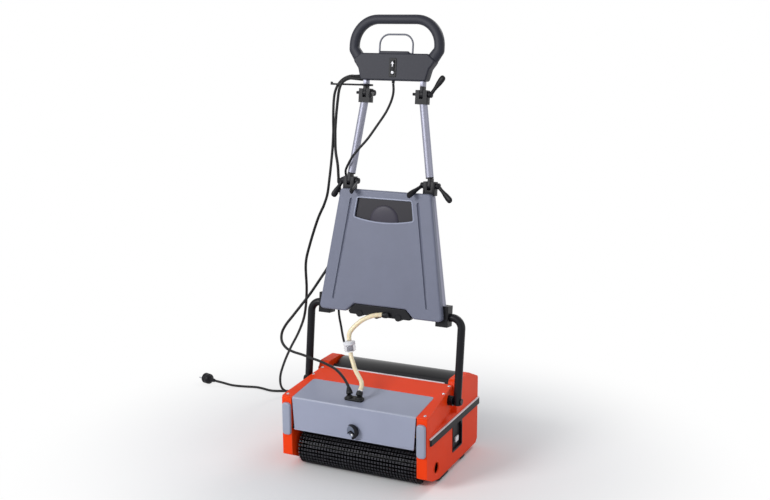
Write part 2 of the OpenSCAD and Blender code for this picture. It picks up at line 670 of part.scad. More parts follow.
module drum_pulley() color("silver") at_yz(drum_y, drum_z) difference() {
  along_x(-plane1 - belt_w, -plane1, drum_pulley_r);
  along_x(-plane1 - belt_w - 1, -plane1 + 1, shaft_r);
}

module cover_catch() color("black") at_yz(0, catch_z) {
  along_y(front_y - 4, front_y + 20, pin_r);
  along_y(front_y - 4, front_y - gap, 13);
  translate([-3.5, front_y - 15, -18]) cube([7, 11.5, 36]);
  difference() {
    along_y(front_y - 15, front_y - 8, 19);
    along_y(front_y - 16, front_y - 7, 13);
    translate([-30, front_y - 16, -30]) cube([30, 9, 60]);
  }
  translate([-6, front_y + 17, -26]) cube([12, 3, 32]);
}

// ---------- handle column ----------

// A round tube bent in the X-Z plane through the points p.
module bent_tube(p, bend, r) {
  last = len(p) - 1;
  u = [for (i = [0:last - 1]) (p[i + 1] - p[i]) / norm(p[i + 1] - p[i])];
  cut = [for (i = [0:last]) i == 0 || i == last ? 0 : bend * tan(acos(u[i - 1] * u[i]) / 2)];
  for (i = [0:last - 1]) {
    a = p[i] + cut[i] * u[i];
    b = p[i + 1] - cut[i + 1] * u[i];
    bar([a[0], 0, a[1]], [b[0], 0, b[1]], r);
  }
  for (i = [1:last - 1]) {
    a = p[i] - cut[i] * u[i - 1];
    way = sign(cross(u[i - 1], u[i]));
    c = a + way * bend * [-u[i - 1][1], u[i - 1][0]];
    a0 = atan2(a[1] - c[1], a[0] - c[0]);
    sweep = acos(u[i - 1] * u[i]);
    translate([c[0], 0, c[1]]) rotate([90, 0, 0]) rotate([0, 0, way > 0 ? a0 : a0 - sweep])
      rotate_extrude(angle = sweep) translate([bend, 0]) circle(r = r);
  }
}
module frame_run(r) bent_tube([[-leg_x, -10], [-leg_x, bar_s], [leg_x, bar_s], [leg_x, -10]], bend_r, r);

module u_frame() color("black") on_handle() difference() {
  frame_run(frame_r);
  difference() {
    frame_run(frame_r - tube_t);
    translate([-300, -50, -20]) cube([600, 100, 22 + pin_r]);
  }
  along_x(-300, 300, pin_r + run_gap);
}

function tube_x(s) = s < fold_s ? tube_x1 + (fold_s - s) * tan(tube_lean_low)
  : tube_x1 - (s - fold_s) * tan(tube_lean_top);
function tube_point(s) = [tube_x(s), -tube_y, s];

module tube_between(s0, s1) difference() {
  bar(tube_point(s0), tube_point(s1), tube_r);
  bar(tube_point(s0 - 1), tube_point(s1 + 1), tube_r - tube_t);
}

clamp_s0 = bar_s - 26;
clamp_s1 = bar_s + 32;
tube_s0 = bar_s + frame_r + 3;
tube_s1 = fold_s - tongue_r - 3;

module lower_tubes() color("silver") on_handle() both_sides() tube_between(tube_s0, tube_s1);

module tube_clamps() color("black") on_handle() both_sides() difference() {
  translate([tube_x(bar_s) - 18, shield_y + seat, clamp_s0]) cube([36, 35, clamp_s1 - clamp_s0]);
  translate([0, 0, bar_s]) along_x(0, leg_x, frame_r + seat);
  bar(tube_point(tube_s0 - 0.1), tube_point(clamp_s1 + 30), tube_r + seat);
}

module solution_tank() color("slategray") on_handle() difference() {
  union() {
    xz(tank_y0, shield_y) polygon(rounded([[-tank_x0, tank_s0], [tank_x0, tank_s0],
      [tank_x1, tank_s1], [-tank_x1, tank_s1]], [10, 10, 8, 8]));
    xz(shield_y - eps, tank_back) polygon(rounded([[-tank_x0 + 36, bar_s + 15], [tank_x0 - 36, bar_s + 15],
      [tank_x1 - 34, tank_s1 - 4], [-tank_x1 + 34, tank_s1 - 4]], 10));
  }
  xz(shield_y - 4, tank_back - tank_wall) polygon(rounded([[-tank_x0 + 39, bar_s + 18], [tank_x0 - 39, bar_s + 18],
    [tank_x1 - 37, tank_s1 - 7], [-tank_x1 + 37, tank_s1 - 7]], 7));
  xz(tank_y0 - 1, tank_y0 + 9) polygon(window_outline(0));
  both_sides() translate([tank_x0, tank_y0, tank_s0]) rotate([0, -shield_lean, 0])
    rotate([0, 0, 45]) cube([shield_edge * sqrt(2), shield_edge * sqrt(2), 2 * tank_s1], center = true);
  translate([0, tank_y0, tank_s1]) rotate([45, 0, 0])
    cube([4 * tank_x1, shield_edge * sqrt(2), shield_edge * sqrt(2)], center = true);
  for (s = [-1, 1]) scale([s, 1, 1])
    bar([tank_x1 - 37, tank_y0, tank_s1 - 31], [tank_x0 - 46, tank_y0, tank_s0 + 35], 3);
  xz(tank_y0 - 1, shield_y + 1) polygon([[84 - tank_x0 + 26, tank_s0 + 24], [tank_x0 - 110, tank_s0 + 24],
    [tank_x0 - 84, tank_s0 - 1], [84 - tank_x0, tank_s0 - 1]]);
  translate([0, 0, cap_s]) along_y(tank_back - tank_wall - 1, tank_back + 1, cap_r - 4 + run_gap);
}

cap_s = tank_s1 - 57;
cap_r = 26;
window_s1 = tank_s1 - 23;
window_s0 = window_s1 - 54;
window_x1 = tank_x1 - 58;
window_x0 = window_x1 + 8;
function window_outline(o) = concat(
  [[-window_x1 + o, window_s1 - o], [-window_x0 + o, window_s0 + o]],
  [for (k = [1:7]) let(x = window_x0 * (k / 4 - 1)) [x, window_s0 + o - 11 * (1 - pow(x / window_x0, 2))]],
  [[window_x0 - o, window_s0 + o], [window_x1 - o, window_s1 - o]]);

module tank_window() color("darkslategray") on_handle() {
  xz(tank_y0 + 6, tank_y0 + 9) polygon(window_outline(0));
  intersection() {
    xz(tank_y0 + 3, tank_y0 + 6) polygon(window_outline(0.5));
    translate([0, 0, window_s0 - 6]) along_y(tank_y0 + 2, tank_y0 + 8, 44);
  }
}

module filler_cap() color("black") on_handle() translate([0, 0, cap_s]) {
  along_y(tank_back + gap, tank_back + 12, cap_r);
  along_y(tank_back - tank_wall, tank_back + 1, cap_r - 4);
  translate([-20, tank_back + 11, -4]) cube([40, 9, 8]);
}

module tank_outlet() color("black") on_handle() {
  xz(-35, -13) polygon(rounded(mirrored([[92, tank_s0 - 6], [98, tank_s0 + 2], [79.5, bar_s + 12]]), [4, 2, 0, 0, 2, 4], 3));
  for (x = [-62, -8, 58]) translate([x, 0, tank_s0 - 2]) along_y(-38, -14, 10);
  translate([26, 0, outlet_s]) along_y(outlet_y - 8, -34, 8);
  translate([0, outlet_y, outlet_s]) along_x(17.2, 26, hose_d / 2);
}

// A fork on the tube's end: the tongue between its cheeks turns on the bolt.
module fork(x, s, socket0, socket1) {
  difference() {
    translate([x - collar_w / 2, -tube_y - collar_d / 2, s - collar_down])
      cube([collar_w, collar_d, collar_down + collar_up]);
    translate([x - tongue_t / 2 - gap, -tube_y - 50, s - tongue_r - gap]) cube([tongue_t + 2 * gap, 100, 60]);
    bar(tube_point(socket0), tube_point(socket1 + 0.1), tube_r + seat);
  }
  translate([0, -tube_y, s]) along_x(x - collar_w / 2 - 12, x + collar_w / 2 + 12, bolt_r);
}
module lower_collars() color("black") on_handle() both_sides() fork(tube_x1, fold_s, tube_s0, tube_s1);

// A clamp lever on an axis along X: a hub and an arm that ends in a round tip.
module clamp_lever(x0, dir, arm) {
  hub = [x0 + dir * 0.3, x0 + dir * 11.5];
  difference() {
    along_x(min(hub), max(hub), 8.5);
    along_x(x0 - 20, x0 + 20, bolt_r + run_gap);
  }
  difference() {
    union() {
      bar([x0 + dir * 6.5, 0, 0], [x0 + dir * 6.5, 0, 0] + arm, 4.8);
      translate([x0 + dir * 6.5, 0, 0] + arm) sphere(r = 6.5, $fn = 24);
    }
    along_x(x0 - 20, x0 + 20, 8.5);
  }
}

fold_in = tube_x1 - collar_w / 2;
fold_out = tube_x1 + collar_w / 2;
module lever_left_inner() color("black") on_handle() on_fold() clamp_lever(-fold_in, 1, [10, -57, -27]);
module lever_left_outer() color("black") on_handle() on_fold() clamp_lever(-fold_out, -1, [-22, -10, -44]);
module lever_right_inner() color("black") on_handle() on_fold() clamp_lever(fold_in, -1, [-15, -57, -27]);
module lever_right_outer() color("black") on_handle() on_fold() clamp_lever(fold_out, 1, [40, -10, -36]);

// ---------- upper handle ----------

tongue_s = 20;
module tongue(x) difference() {
  union() {
    along_x(x - tongue_t / 2, x + tongue_t / 2, tongue_r);
    translate([x - tongue_t / 2, -tube_r, 0]) cube([tongue_t, 2 * tube_r, tongue_s]);
  }
  along_x(x - 20, x + 20, bolt_r + run_gap);
}

upper_s0 = fold_s + tongue_s + 3;
upper_s1 = head_s - tongue_r - 3;
module upper_tubes() color("silver") on_handle() both_sides() tube_between(upper_s0, upper_s1);

module knuckles() color("black") on_handle() both_sides() {
  on_fold() tongue(tube_x1);
  bar(tube_point(upper_s0 - 3.5), tube_point(upper_s0), tube_r);
  bar(tube_point(upper_s0 - 1), tube_point(upper_s0 + 24), tube_r - tube_t - seat);
  fork(tube_x2, head_s, upper_s0, upper_s1);
}

// ---------- head ----------

head_x = tube_x2 + 12;
ring_foot = ring_x - 18;
grip_w = 28;
function mirrored(p) = concat(p, [for (i = [len(p) - 1:-1:0]) [-p[i][0], p[i][1]]]);
function head_box() = rounded(mirrored([[head_x, head_bottom], [head_x + 9, head_bottom + 32],
  [ring_foot, head_bottom + 55], [ring_foot - 24, head_bottom + 74]]), [8, 12, 8, 4, 4, 8, 12, 8]);
function ring_out() = rounded(mirrored([[ring_foot, head_bottom + 51], [ring_x, head_bottom + 79],
  [ring_x, ring_top]]), [4, 20, ring_round, ring_round, 20, 4], 10);
function ring_in() = rounded(mirrored([[ring_foot - grip_w, head_bottom + 69],
  [ring_x - grip_w, head_bottom + 91], [ring_x - grip_w, ring_top - grip_w + 2]]),
  [10, 8, ring_round - grip_w + 2, ring_round - grip_w + 2, 8, 10], 10);

module handle_head() color("darkslategray") on_handle() {
  difference() {
    union() {
      xz(head_mid - head_t / 2, head_mid + head_t / 2) polygon(head_box());
      xz(head_mid - ring_t / 2, head_mid + ring_t / 2) difference() {
        polygon(ring_out());
        polygon(ring_in());
      }
    }
    xz(head_mid - head_t / 2 - 1, head_mid - head_t / 2 + 12) polygon([[-7, switch_s - 24],
      [7, switch_s - 24], [7, switch_s + 24], [-7, switch_s + 24]]);
    translate([-54, head_mid - 8, bail_s - 7]) cube([108, 16, 30]);
  }
  difference() {
    for (s = [-1, 1]) translate([s * 42, head_mid, bail_s]) along_x(-4, 4, 8);
    translate([0, head_mid, bail_s]) along_x(-50, 50, bail_r + run_gap);
  }
  both_sides() {
    on_head() tongue(tube_x2);
    translate([tube_x2 - tongue_t / 2, -tube_y - tube_r, head_s + tongue_s - eps])
      cube([tongue_t, 2 * tube_r, head_bottom - head_s - tongue_s + 2]);
  }
}

module bail() color("silver") on_handle() translate([0, head_mid, bail_s]) {
  along_x(-50, 50, bail_r);
  swept([for (q = rounded([[-50, 0], [-50, 54], [50, 54], [50, 0]], [0, 28, 28, 0], 7))
    [q[0], 0, q[1]]], 2 * bail_r, 1, 12);
}

module rocker_switch() color("black") on_handle() translate([0, head_mid - head_t / 2 + 4, switch_s])
  rotate([4, 0, 0]) translate([-6.5, -7, -21]) cube([13, 12, 42]);

head_in = tube_x2 - collar_w / 2;
head_out = tube_x2 + collar_w / 2;
module head_lever_left() color("black") on_handle() on_head() clamp_lever(-head_in, 1, [8, -38, -8]);
module head_lever_right() color("black") on_handle() on_head() clamp_lever(head_out, 1, [36, -6, 46]);

hook_s = head_s + 19;
module cord_hook() color("black") on_handle() translate([-tube_x2, -tube_y, hook_s]) difference() {
  union() {
    cylinder(h = 5, r = 19);
    translate([-112, -4, 0]) cube([100, 8, 5]);
    translate([-112, -4, 0]) cube([5, 8, 9]);
  }
  translate([0, 0, -1]) cylinder(h = 9, r = norm([tongue_t / 2, tube_r]) + 0.4);
}

module cord_exit() color("black") on_handle() difference() {
  union() {
    translate([0, mains_y, mains_s]) along_x(-125.5, -96, 6);
    translate([0, lead_y, lead_s]) along_x(-125.5, -96, 6);
    translate([-1, control_y, head_bottom - 7]) cylinder(h = 12, r = 6);
  }
  xz(head_mid - head_t / 2, head_mid + head_t / 2) polygon(head_box());
}

// ---------- cords ----------

module motor_lead() color("black") {
  swept(lead_route, lead_d, 2);
}
module control_cable() color("black") {
  swept(control_route, control_d, 3);
}
module mains_cord() color("black") {
  swept(mains_route, mains_d, 2);
  swept(mains_tail_route, mains_d, 2);
}
module mains_coil() color("black") translate([coil_x, coil_y, 0]) rotate_extrude()
  translate([coil_mid_r - coil_section / 2, 0]) square([coil_section, coil_section]);
module mains_plug() color("black") translate(knot(mains_tail_route, 99) - [1, 0, 0]) rotate([0, 0, 165]) {
  along_x(0, 20, 8);
  along_x(20, 50, 18);
  for (y = [-9.5, 9.5]) translate([50, y, 0]) along_x(0, 19, 2.4);
}
module solution_hose() color("khaki") {
  swept(hose_top_route, hose_d);
  swept(hose_low_route, hose_d);
}
module hose_filter() color("lightgray") {
  bar(filter_p0, filter_p1, 17);
  bar((filter_p0 + filter_p1) / 2, control_route[len(control_route) - 1], 7);
}

bearing_plates();
side_housing_left();
side_housing_right();
chassis_bars();
hood_frame();
front_cover();
corner_pads();
bumper_strips();
side_skirts();
cable_gland();
handle_pivots();
tank_bezel();
drum_scraper();
spray_bar();
motor_casing();
drive_belts();
shaft_bushes();
housing_screws();
recovery_tank();
tank_latch();
cover_catch();
motor_rotor();
counter_gear();
front_brush_core();
front_brush_bristles();
front_brush_pulley();
rear_brush_core();
rear_brush_bristles();
rear_brush_pulley();
conveyor_drum();
drum_pulley();
u_frame();
lower_tubes();
tube_clamps();
solution_tank();
tank_window();
filler_cap();
tank_outlet();
lower_collars();
lever_left_inner();
lever_left_outer();
lever_right_inner();
lever_right_outer();
upper_tubes();
knuckles();
handle_head();
bail();
rocker_switch();
head_lever_left();
head_lever_right();
cord_hook();
cord_exit();
motor_lead();
control_cable();
mains_cord();
mains_coil();
mains_plug();
solution_hose();
hose_filter();
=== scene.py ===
# %% [markdown]
# # A floor washer, piece by piece
# This machine scrubs a hard floor with two turning brushes and throws the dirty water
# into a tray. The solid model of it is loaded first, because every piece made below sits
# where that model says. Places and profiles of its pieces are typed in millimetres, and
# the helpers turn them into metres. The camera, the lamps, the node trees, the tufts of
# the brushes and the diameters of cords and wires are in metres.

# %% Load the solid model
import math
import bmesh
import bpy
from mathutils import Matrix, Vector
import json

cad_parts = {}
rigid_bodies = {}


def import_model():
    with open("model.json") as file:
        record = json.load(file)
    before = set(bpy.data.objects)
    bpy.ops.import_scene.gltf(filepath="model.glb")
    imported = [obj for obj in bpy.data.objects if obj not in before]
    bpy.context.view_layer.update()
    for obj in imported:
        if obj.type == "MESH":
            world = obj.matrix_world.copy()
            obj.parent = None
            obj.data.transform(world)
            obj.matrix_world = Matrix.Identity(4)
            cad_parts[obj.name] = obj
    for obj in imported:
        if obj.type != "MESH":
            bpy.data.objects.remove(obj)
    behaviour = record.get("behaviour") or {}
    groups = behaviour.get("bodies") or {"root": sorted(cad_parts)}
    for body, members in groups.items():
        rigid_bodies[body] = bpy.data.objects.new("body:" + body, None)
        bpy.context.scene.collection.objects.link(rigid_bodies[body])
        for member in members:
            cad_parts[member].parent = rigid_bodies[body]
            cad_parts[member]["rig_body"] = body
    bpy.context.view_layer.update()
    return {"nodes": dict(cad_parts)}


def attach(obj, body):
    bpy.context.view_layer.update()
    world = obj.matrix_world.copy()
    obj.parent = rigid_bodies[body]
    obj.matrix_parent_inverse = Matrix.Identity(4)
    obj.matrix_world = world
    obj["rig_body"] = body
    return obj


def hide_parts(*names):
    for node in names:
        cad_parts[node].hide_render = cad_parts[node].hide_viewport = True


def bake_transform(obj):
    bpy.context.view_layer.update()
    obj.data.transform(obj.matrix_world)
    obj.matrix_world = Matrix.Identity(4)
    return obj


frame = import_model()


def mm(x, y, z):
    """A point given in millimetres."""
    return Vector((x, y, z)) / 1000


def move(x, y, z):
    """A shift given in millimetres."""
    return Matrix.Translation(mm(x, y, z))


def spin(degrees, axis):
    return Matrix.Rotation(math.radians(degrees), 4, axis)


# %% [markdown]
# ## Camera
# A product picture is taken from a few metres away with a moderately long lens, so that
# the upright lines of the handle stay nearly parallel. The camera stands to the right of
# the machine and a little above it. Its turn is built from three angles, so each of them
# can be read and changed by itself.

# %% Camera
yaw, pitch, roll = 25.21, 12.46, -0.19
turn = spin(yaw, "Z") @ spin(90 - pitch, "X") @ spin(roll, "Z")
camera = bpy.data.objects.new("camera", bpy.data.cameras.new("camera"))
bpy.context.scene.collection.objects.link(camera)
camera.matrix_world = Matrix.Translation((1.282, -2.702, 1.271)) @ turn
camera.data.lens = 51.54
camera.data.sensor_width = 36
bpy.context.scene.camera = camera
print("camera at", tuple(round(v, 3) for v in camera.location))

# %% [markdown]
# ## Light and floor
# Three soft area lamps and an even sky are enough: a large one at the front left that
# shapes the machine, a weaker one at the right that keeps its side readable, and one
# behind that draws a line along the tubes.

# %% Lamps
scene = bpy.context.scene
scene.view_settings.view_transform = "Standard"


def lamp(name, place, aim, size, watts):
    data = bpy.data.lights.new(name, "AREA")
    data.shape, data.size, data.energy = "DISK", size, watts
    obj = bpy.data.objects.new(name, data)
    scene.collection.objects.link(obj)
    obj.location = place
    obj.rotation_euler = (Vector(aim) - Vector(place)).to_track_quat("-Z", "Y").to_euler()


lamp("key_lamp", (-1.7, -3.1, 2.0), (0, 0, 0.5), size=1.5, watts=88)
lamp("side_lamp", (3.2, -0.6, 1.4), (0, 0, 0.4), size=1.6, watts=7.5)
lamp("back_lamp", (0.9, 2.6, 2.6), (0, 0, 0.7), size=1.4, watts=28)
print("lamps", len(bpy.data.lights))

# %% [markdown]
# ### Node helpers
# The sky, the floor and every finish are node trees, and all are built with `node`. It
# adds one node and fills its inputs: another node's output is linked, and a number or a
# colour is typed in. `calc` is a math node.

# %% Node helpers
def emptied(owner):
    """The empty node tree of a material or world."""
    owner.use_nodes = True
    owner.node_tree.nodes.clear()
    return owner.node_tree


def node(tree, kind, inputs, **settings):
    """A new node; its inputs are numbers, colours or other nodes' outputs."""
    made = tree.nodes.new("ShaderNode" + kind)
    for key, value in settings.items():
        setattr(made, key, value)
    for key, value in inputs.items():
        if isinstance(value, bpy.types.NodeSocket):
            tree.links.new(value, made.inputs[key])
        else:
            made.inputs[key].default_value = value
    return made


def calc(tree, operation, *values):
    return node(tree, "Math", dict(enumerate(values)), operation=operation).outputs[0]


def white_for(tree):
    """1 for rays from the camera, through clear plastic or off metal, and 0 for others."""
    rays = node(tree, "LightPath", {}).outputs
    direct = calc(tree, "MAXIMUM", rays["Is Camera Ray"], rays["Is Transmission Ray"])
    return calc(tree, "MAXIMUM", direct, rays["Is Glossy Ray"])


# %% [markdown]
# ### Sky and floor
# The sky lights the machine faintly, but looks plain white. The floor keeps the shadow of
# the machine and fades to that white further out. Mirror-like rays see the white too, so
# that metal does not turn black.

# %% Sky and floor
scene.world = bpy.data.worlds.new("even_sky")
tree = emptied(scene.world)
sky = node(tree, "Background", {"Color": (0.93, 0.95, 1, 1), "Strength": 0.46})
seen = node(tree, "Background", {"Color": (1, 1, 1, 1), "Strength": 1.0})
mix = node(tree, "MixShader", {"Fac": white_for(tree), 1: sky.outputs[0], 2: seen.outputs[0]})
node(tree, "OutputWorld", {"Surface": mix.outputs[0]})

bm = bmesh.new()
bmesh.ops.create_grid(bm, x_segments=1, y_segments=1, size=40)
mesh = bpy.data.meshes.new("floor")
bm.to_mesh(mesh)
bm.free()
floor = bpy.data.objects.new("floor", mesh)
scene.collection.objects.link(floor)
floor_paint = bpy.data.materials.new("pale_floor")
tree = emptied(floor_paint)
place = node(tree, "TexCoord", {}).outputs["Object"]
away = node(tree, "VectorMath", {0: place}, operation="LENGTH").outputs["Value"]
far_out = node(tree, "MapRange", {"Value": away, "From Min": 0.3, "From Max": 1.1},
               interpolation_type="SMOOTHSTEP").outputs["Result"]
matt = node(tree, "BsdfDiffuse", {"Color": (0.92, 0.92, 0.92, 1)})
glow = node(tree, "Emission", {})
fade = calc(tree, "MULTIPLY", white_for(tree), far_out)
mix = node(tree, "MixShader", {"Fac": fade, 1: matt.outputs[0], 2: glow.outputs[0]})
node(tree, "OutputMaterial", {"Surface": mix.outputs[0]})
mesh.materials.append(floor_paint)
print("sky and floor made")

# %% [markdown]
# ## Shared effects as node groups
# Several finishes show the same few effects: the fine grain of a mould, a slow change of
# tone, paler edges that are partly wear and partly a painted highlight, dust that settles
# on what faces up, and lines drawn along a tube. Each effect is one node group with named
# inputs, built once. A group gives out only masks, heights and colours, and the shader
# stays in the material.

# %% Helpers for node groups
def effect(name, inputs, outputs):
    """A node group with a place and other inputs. Returns it and its input sockets."""
    group = bpy.data.node_groups.new(name, "ShaderNodeTree")
    socket = group.interface.new_socket
    socket(name="Place", in_out="INPUT", socket_type="NodeSocketVector")
    for label, value in inputs.items():
        kind = "Float" if isinstance(value, float) else "Color"
        socket(name=label, in_out="INPUT", socket_type="NodeSocket" + kind).default_value = value
    for label in outputs:
        kind = "Color" if label == "Colour" else "Float"
        socket(name=label, in_out="OUTPUT", socket_type="NodeSocket" + kind)
    return group, group.nodes.new("NodeGroupInput").outputs


def deliver(group, **results):
    """Links the results to the group's outputs."""
    end = group.nodes.new("NodeGroupOutput")
    for label, result in results.items():
        group.links.new(result, end.inputs[label])
    print(group.name, "gives", ", ".join(results))


# %% [markdown]
# ### Mould grain
# A moulded cover has a fine pebbled skin, pressed in by an etched mould. Two noises, one
# of about a millimetre and one finer, give its height, and the finer one makes the gloss
# uneven.

# %% Mould grain
grain, given = effect("mould_grain", {"Grains per Metre": 900.0}, ["Height", "Gloss"])
place, count = given["Place"], given["Grains per Metre"]
coarse = node(grain, "TexVoronoi", {"Vector": place, "Scale": count}, feature="SMOOTH_F1")
finer = calc(grain, "MULTIPLY", count, 2.3)
fine = node(grain, "TexNoise", {"Vector": place, "Scale": finer, "Detail": 2}).outputs["Fac"]
deliver(grain, Height=calc(grain, "MULTIPLY", coarse.outputs["Distance"], fine), Gloss=fine)

# %% [markdown]
# ### Slow change of tone
# Even new plastic is not one colour: it clouds a little over a hand's width. The group
# makes the finish's colour a little lighter and darker from place to place.

# %% Slow change of tone
clouding, given = effect("clouding", {"Colour": (0.5, 0.5, 0.5, 1), "Spread": 0.08, "Size": 9.0}, ["Colour"])
noise = node(clouding, "TexNoise",
             {"Vector": given["Place"], "Scale": given["Size"], "Detail": 4, "Roughness": 0.6})
swing = calc(clouding, "SUBTRACT", noise.outputs["Fac"], 0.5)
swing = calc(clouding, "MULTIPLY", swing, given["Spread"])
value = calc(clouding, "MULTIPLY_ADD", swing, 4.0, 1.0)
hue = node(clouding, "HueSaturation", {"Value": value, "Color": given["Colour"]})
deliver(clouding, Colour=hue.outputs["Color"])

# %% [markdown]
# ### Worn and highlighted edges
# Hands, carpets and door frames polish the corners first, and the paler edge colour also
# paints the highlight that light draws along an edge. The bevel node gives a rounded normal
# near an edge, and the angle between that and the true normal is a mask of the edges. A
# noise breaks the mask up, so the wear and the painted highlight come in patches.

# %% Worn and highlighted edges
worn_and_lit_edges, given = effect("worn_and_lit_edges", {"Width": 0.002, "Patches": 60.0}, ["Mask"])
rounded = node(worn_and_lit_edges, "Bevel", {"Radius": given["Width"]}, samples=4).outputs["Normal"]
true = node(worn_and_lit_edges, "NewGeometry", {}).outputs["Normal"]
dot = node(worn_and_lit_edges, "VectorMath", {0: rounded, 1: true}, operation="DOT_PRODUCT").outputs["Value"]
noise = node(worn_and_lit_edges, "TexNoise", {"Vector": given["Place"], "Scale": given["Patches"], "Detail": 5})
edge = calc(worn_and_lit_edges, "MULTIPLY", calc(worn_and_lit_edges, "SUBTRACT", 1.0, dot), noise.outputs["Fac"])
ramp = node(worn_and_lit_edges, "MapRange", {"Value": edge, "From Min": 0.02, "From Max": 0.12})
deliver(worn_and_lit_edges, Mask=ramp.outputs["Result"])

# %% [markdown]
# ### Settled dust
# Dust lies on what faces up and gathers in clouds. The mask is the upward part of the
# surface's own normal, times a broken noise. It is kept faint: the machine is clean.

# %% Settled dust
settled_dust, given = effect("settled_dust", {"Amount": 0.2}, ["Mask"])
facing = node(settled_dust, "NewGeometry", {}).outputs["Normal"]
up = node(settled_dust, "SeparateXYZ", {0: facing}).outputs["Z"]
noise = node(settled_dust, "TexNoise", {"Vector": given["Place"], "Scale": 34, "Detail": 6})
lies = calc(settled_dust, "POWER", calc(settled_dust, "MAXIMUM", up, 0.0), 3.0)
lies = calc(settled_dust, "MULTIPLY", lies, noise.outputs["Fac"])
deliver(settled_dust, Mask=calc(settled_dust, "MULTIPLY", lies, given["Amount"]))

# %% [markdown]
# ### Drawn lines
# An aluminium tube is pulled through a die, which leaves hair lines along it. A noise
# that is stretched along the tube gives them. The tubes here run nearly upright, so the
# stretch is along Z.

# %% Drawn lines
drawn_lines, given = effect("drawn_lines", {"Fineness": 700.0}, ["Height", "Gloss"])
stretch = node(drawn_lines, "VectorMath", {0: given["Place"], 1: (1, 1, 0.02)}, operation="MULTIPLY")
lines = node(drawn_lines, "TexNoise",
             {"Vector": stretch.outputs["Vector"], "Scale": given["Fineness"], "Detail": 3}).outputs["Fac"]
deliver(drawn_lines, Height=lines, Gloss=lines)
print("effects", [g.name for g in bpy.data.node_groups])

# %% [markdown]
# ## Finishes
# One helper puts a finish together from its colour, its gloss and the shared effects.
# Numbers that are the same all over are typed on the shader's own sockets. Paler edges,
# partly wear and partly a painted highlight, mix in a second colour, dust a third.

# %% The finish helper
finishes = {}
DUST = (196, 192, 186)


def linear(colour):
    """A colour as a paint shop gives it, 0 to 255, made linear."""
    parts = [c / 255 for c in colour]
    return tuple(p / 12.92 if p <= 0.04045 else ((p + 0.055) / 1.055) ** 2.4 for p in parts) + (1,)


def mixed(tree, mask, below, colour):
    """A colour laid over another one where the mask is."""
    return node(tree, "Mix", {0: mask, 6: below, 7: linear(colour)}, data_type="RGBA").outputs[2]


def finish(name, colour, rough, grains=900.0, depth=0.00004, spread=0.05, size=9.0, metal=0.0, coat=0.0,
           wear_and_highlight=None, wear_and_highlight_width=0.0015, dust=0.02, lines=0.0, shine=0.5, gloss_swing=0.12):
    """A procedural finish. The paler colour given for the edges is partly wear and partly a painted
    highlight.
    """
    made = finishes[name] = bpy.data.materials.new(name)
    tree = emptied(made)
    place = node(tree, "TexCoord", {}).outputs["Object"]
    shade = node(tree, "Group", {"Place": place, "Colour": linear(colour), "Spread": spread, "Size": size},
                 node_tree=clouding).outputs["Colour"]
    # Paler edges: partly wear, partly a painted highlight along them.
    if wear_and_highlight:
        edge = node(tree, "Group", {"Place": place, "Width": wear_and_highlight_width}, node_tree=worn_and_lit_edges)
        shade = mixed(tree, edge.outputs["Mask"], shade, wear_and_highlight)
    if dust:
        film = node(tree, "Group", {"Place": place, "Amount": dust}, node_tree=settled_dust)
        shade = mixed(tree, film.outputs["Mask"], shade, DUST)
    if lines:
        skin = node(tree, "Group", {"Place": place, "Fineness": lines}, node_tree=drawn_lines)
    else:
        skin = node(tree, "Group", {"Place": place, "Grains per Metre": grains}, node_tree=grain)
    gloss = calc(tree, "MULTIPLY_ADD", skin.outputs["Gloss"], gloss_swing, rough - gloss_swing / 2)
    bump = node(tree, "Bump", {"Strength": 1.0, "Distance": depth, "Height": skin.outputs["Height"]})
    shader = node(tree, "BsdfPrincipled", {
        "Base Color": shade, "Roughness": gloss, "Normal": bump.outputs["Normal"], "Metallic": metal,
        "Coat Weight": coat, "Coat Roughness": 0.12, "Specular IOR Level": shine})
    node(tree, "OutputMaterial", {"Surface": shader.outputs[0]})
    return tree, shader


# %% [markdown]
# ### Colours of the machine
# The base is a bright orange moulding with a little gloss, the cover and the tank are two
# cool greys, and what is touched or carries load is black or aluminium. Values are set a
# little below what the eye expects, because the lamps add the rest.

# %% Moulded plastics
# The paler edge colours in these finishes are partly wear and partly a painted highlight.
finish("orange_moulding", (236, 62, 10), 0.46, grains=700, depth=0.00003, coat=0.02,
       wear_and_highlight=(246, 122, 82), dust=0.01, shine=0.12)
finish("cover_grey", (150, 155, 175), 0.42, grains=1100, depth=0.00002, spread=0.04, coat=0.04,
       wear_and_highlight=(192, 197, 210), wear_and_highlight_width=0.001, dust=0.03, shine=0.3)
finish("tank_grey", (109, 113, 131), 0.46, grains=620, depth=0.00005, spread=0.06, coat=0.04,
       wear_and_highlight=(150, 155, 172), wear_and_highlight_width=0.0012, dust=0.04, shine=0.35)
finish("disc_grey", (112, 120, 138), 0.44, depth=0.00002, shine=0.3)
finish("head_charcoal", (39, 40, 50), 0.5, grains=780, depth=0.00006, spread=0.06, wear_and_highlight=(88, 90, 104),
       shine=0.26)
finish("black_plastic", (12, 12, 18), 0.44, grains=820, depth=0.00005, spread=0.1, wear_and_highlight=(48, 48, 58),
       wear_and_highlight_width=0.001, dust=0.01, shine=0.22)
finish("pad_blue", (148, 154, 172), 0.36, grains=800, depth=0.00003, spread=0.06, coat=0.1, dust=0.03,
       shine=0.35)
finish("pale_plastic", (226, 226, 230), 0.34, depth=0.00002, spread=0.03)
finish("window_smoke", (30, 28, 37), 0.36, grains=300, depth=0.00001, spread=0.1, size=22, coat=0.05,
       shine=0.25)
finish("dome_smoke", (54, 51, 63), 0.38, grains=300, depth=0.00001, spread=0.08, size=22, shine=0.2)
print("plastics", len(finishes))

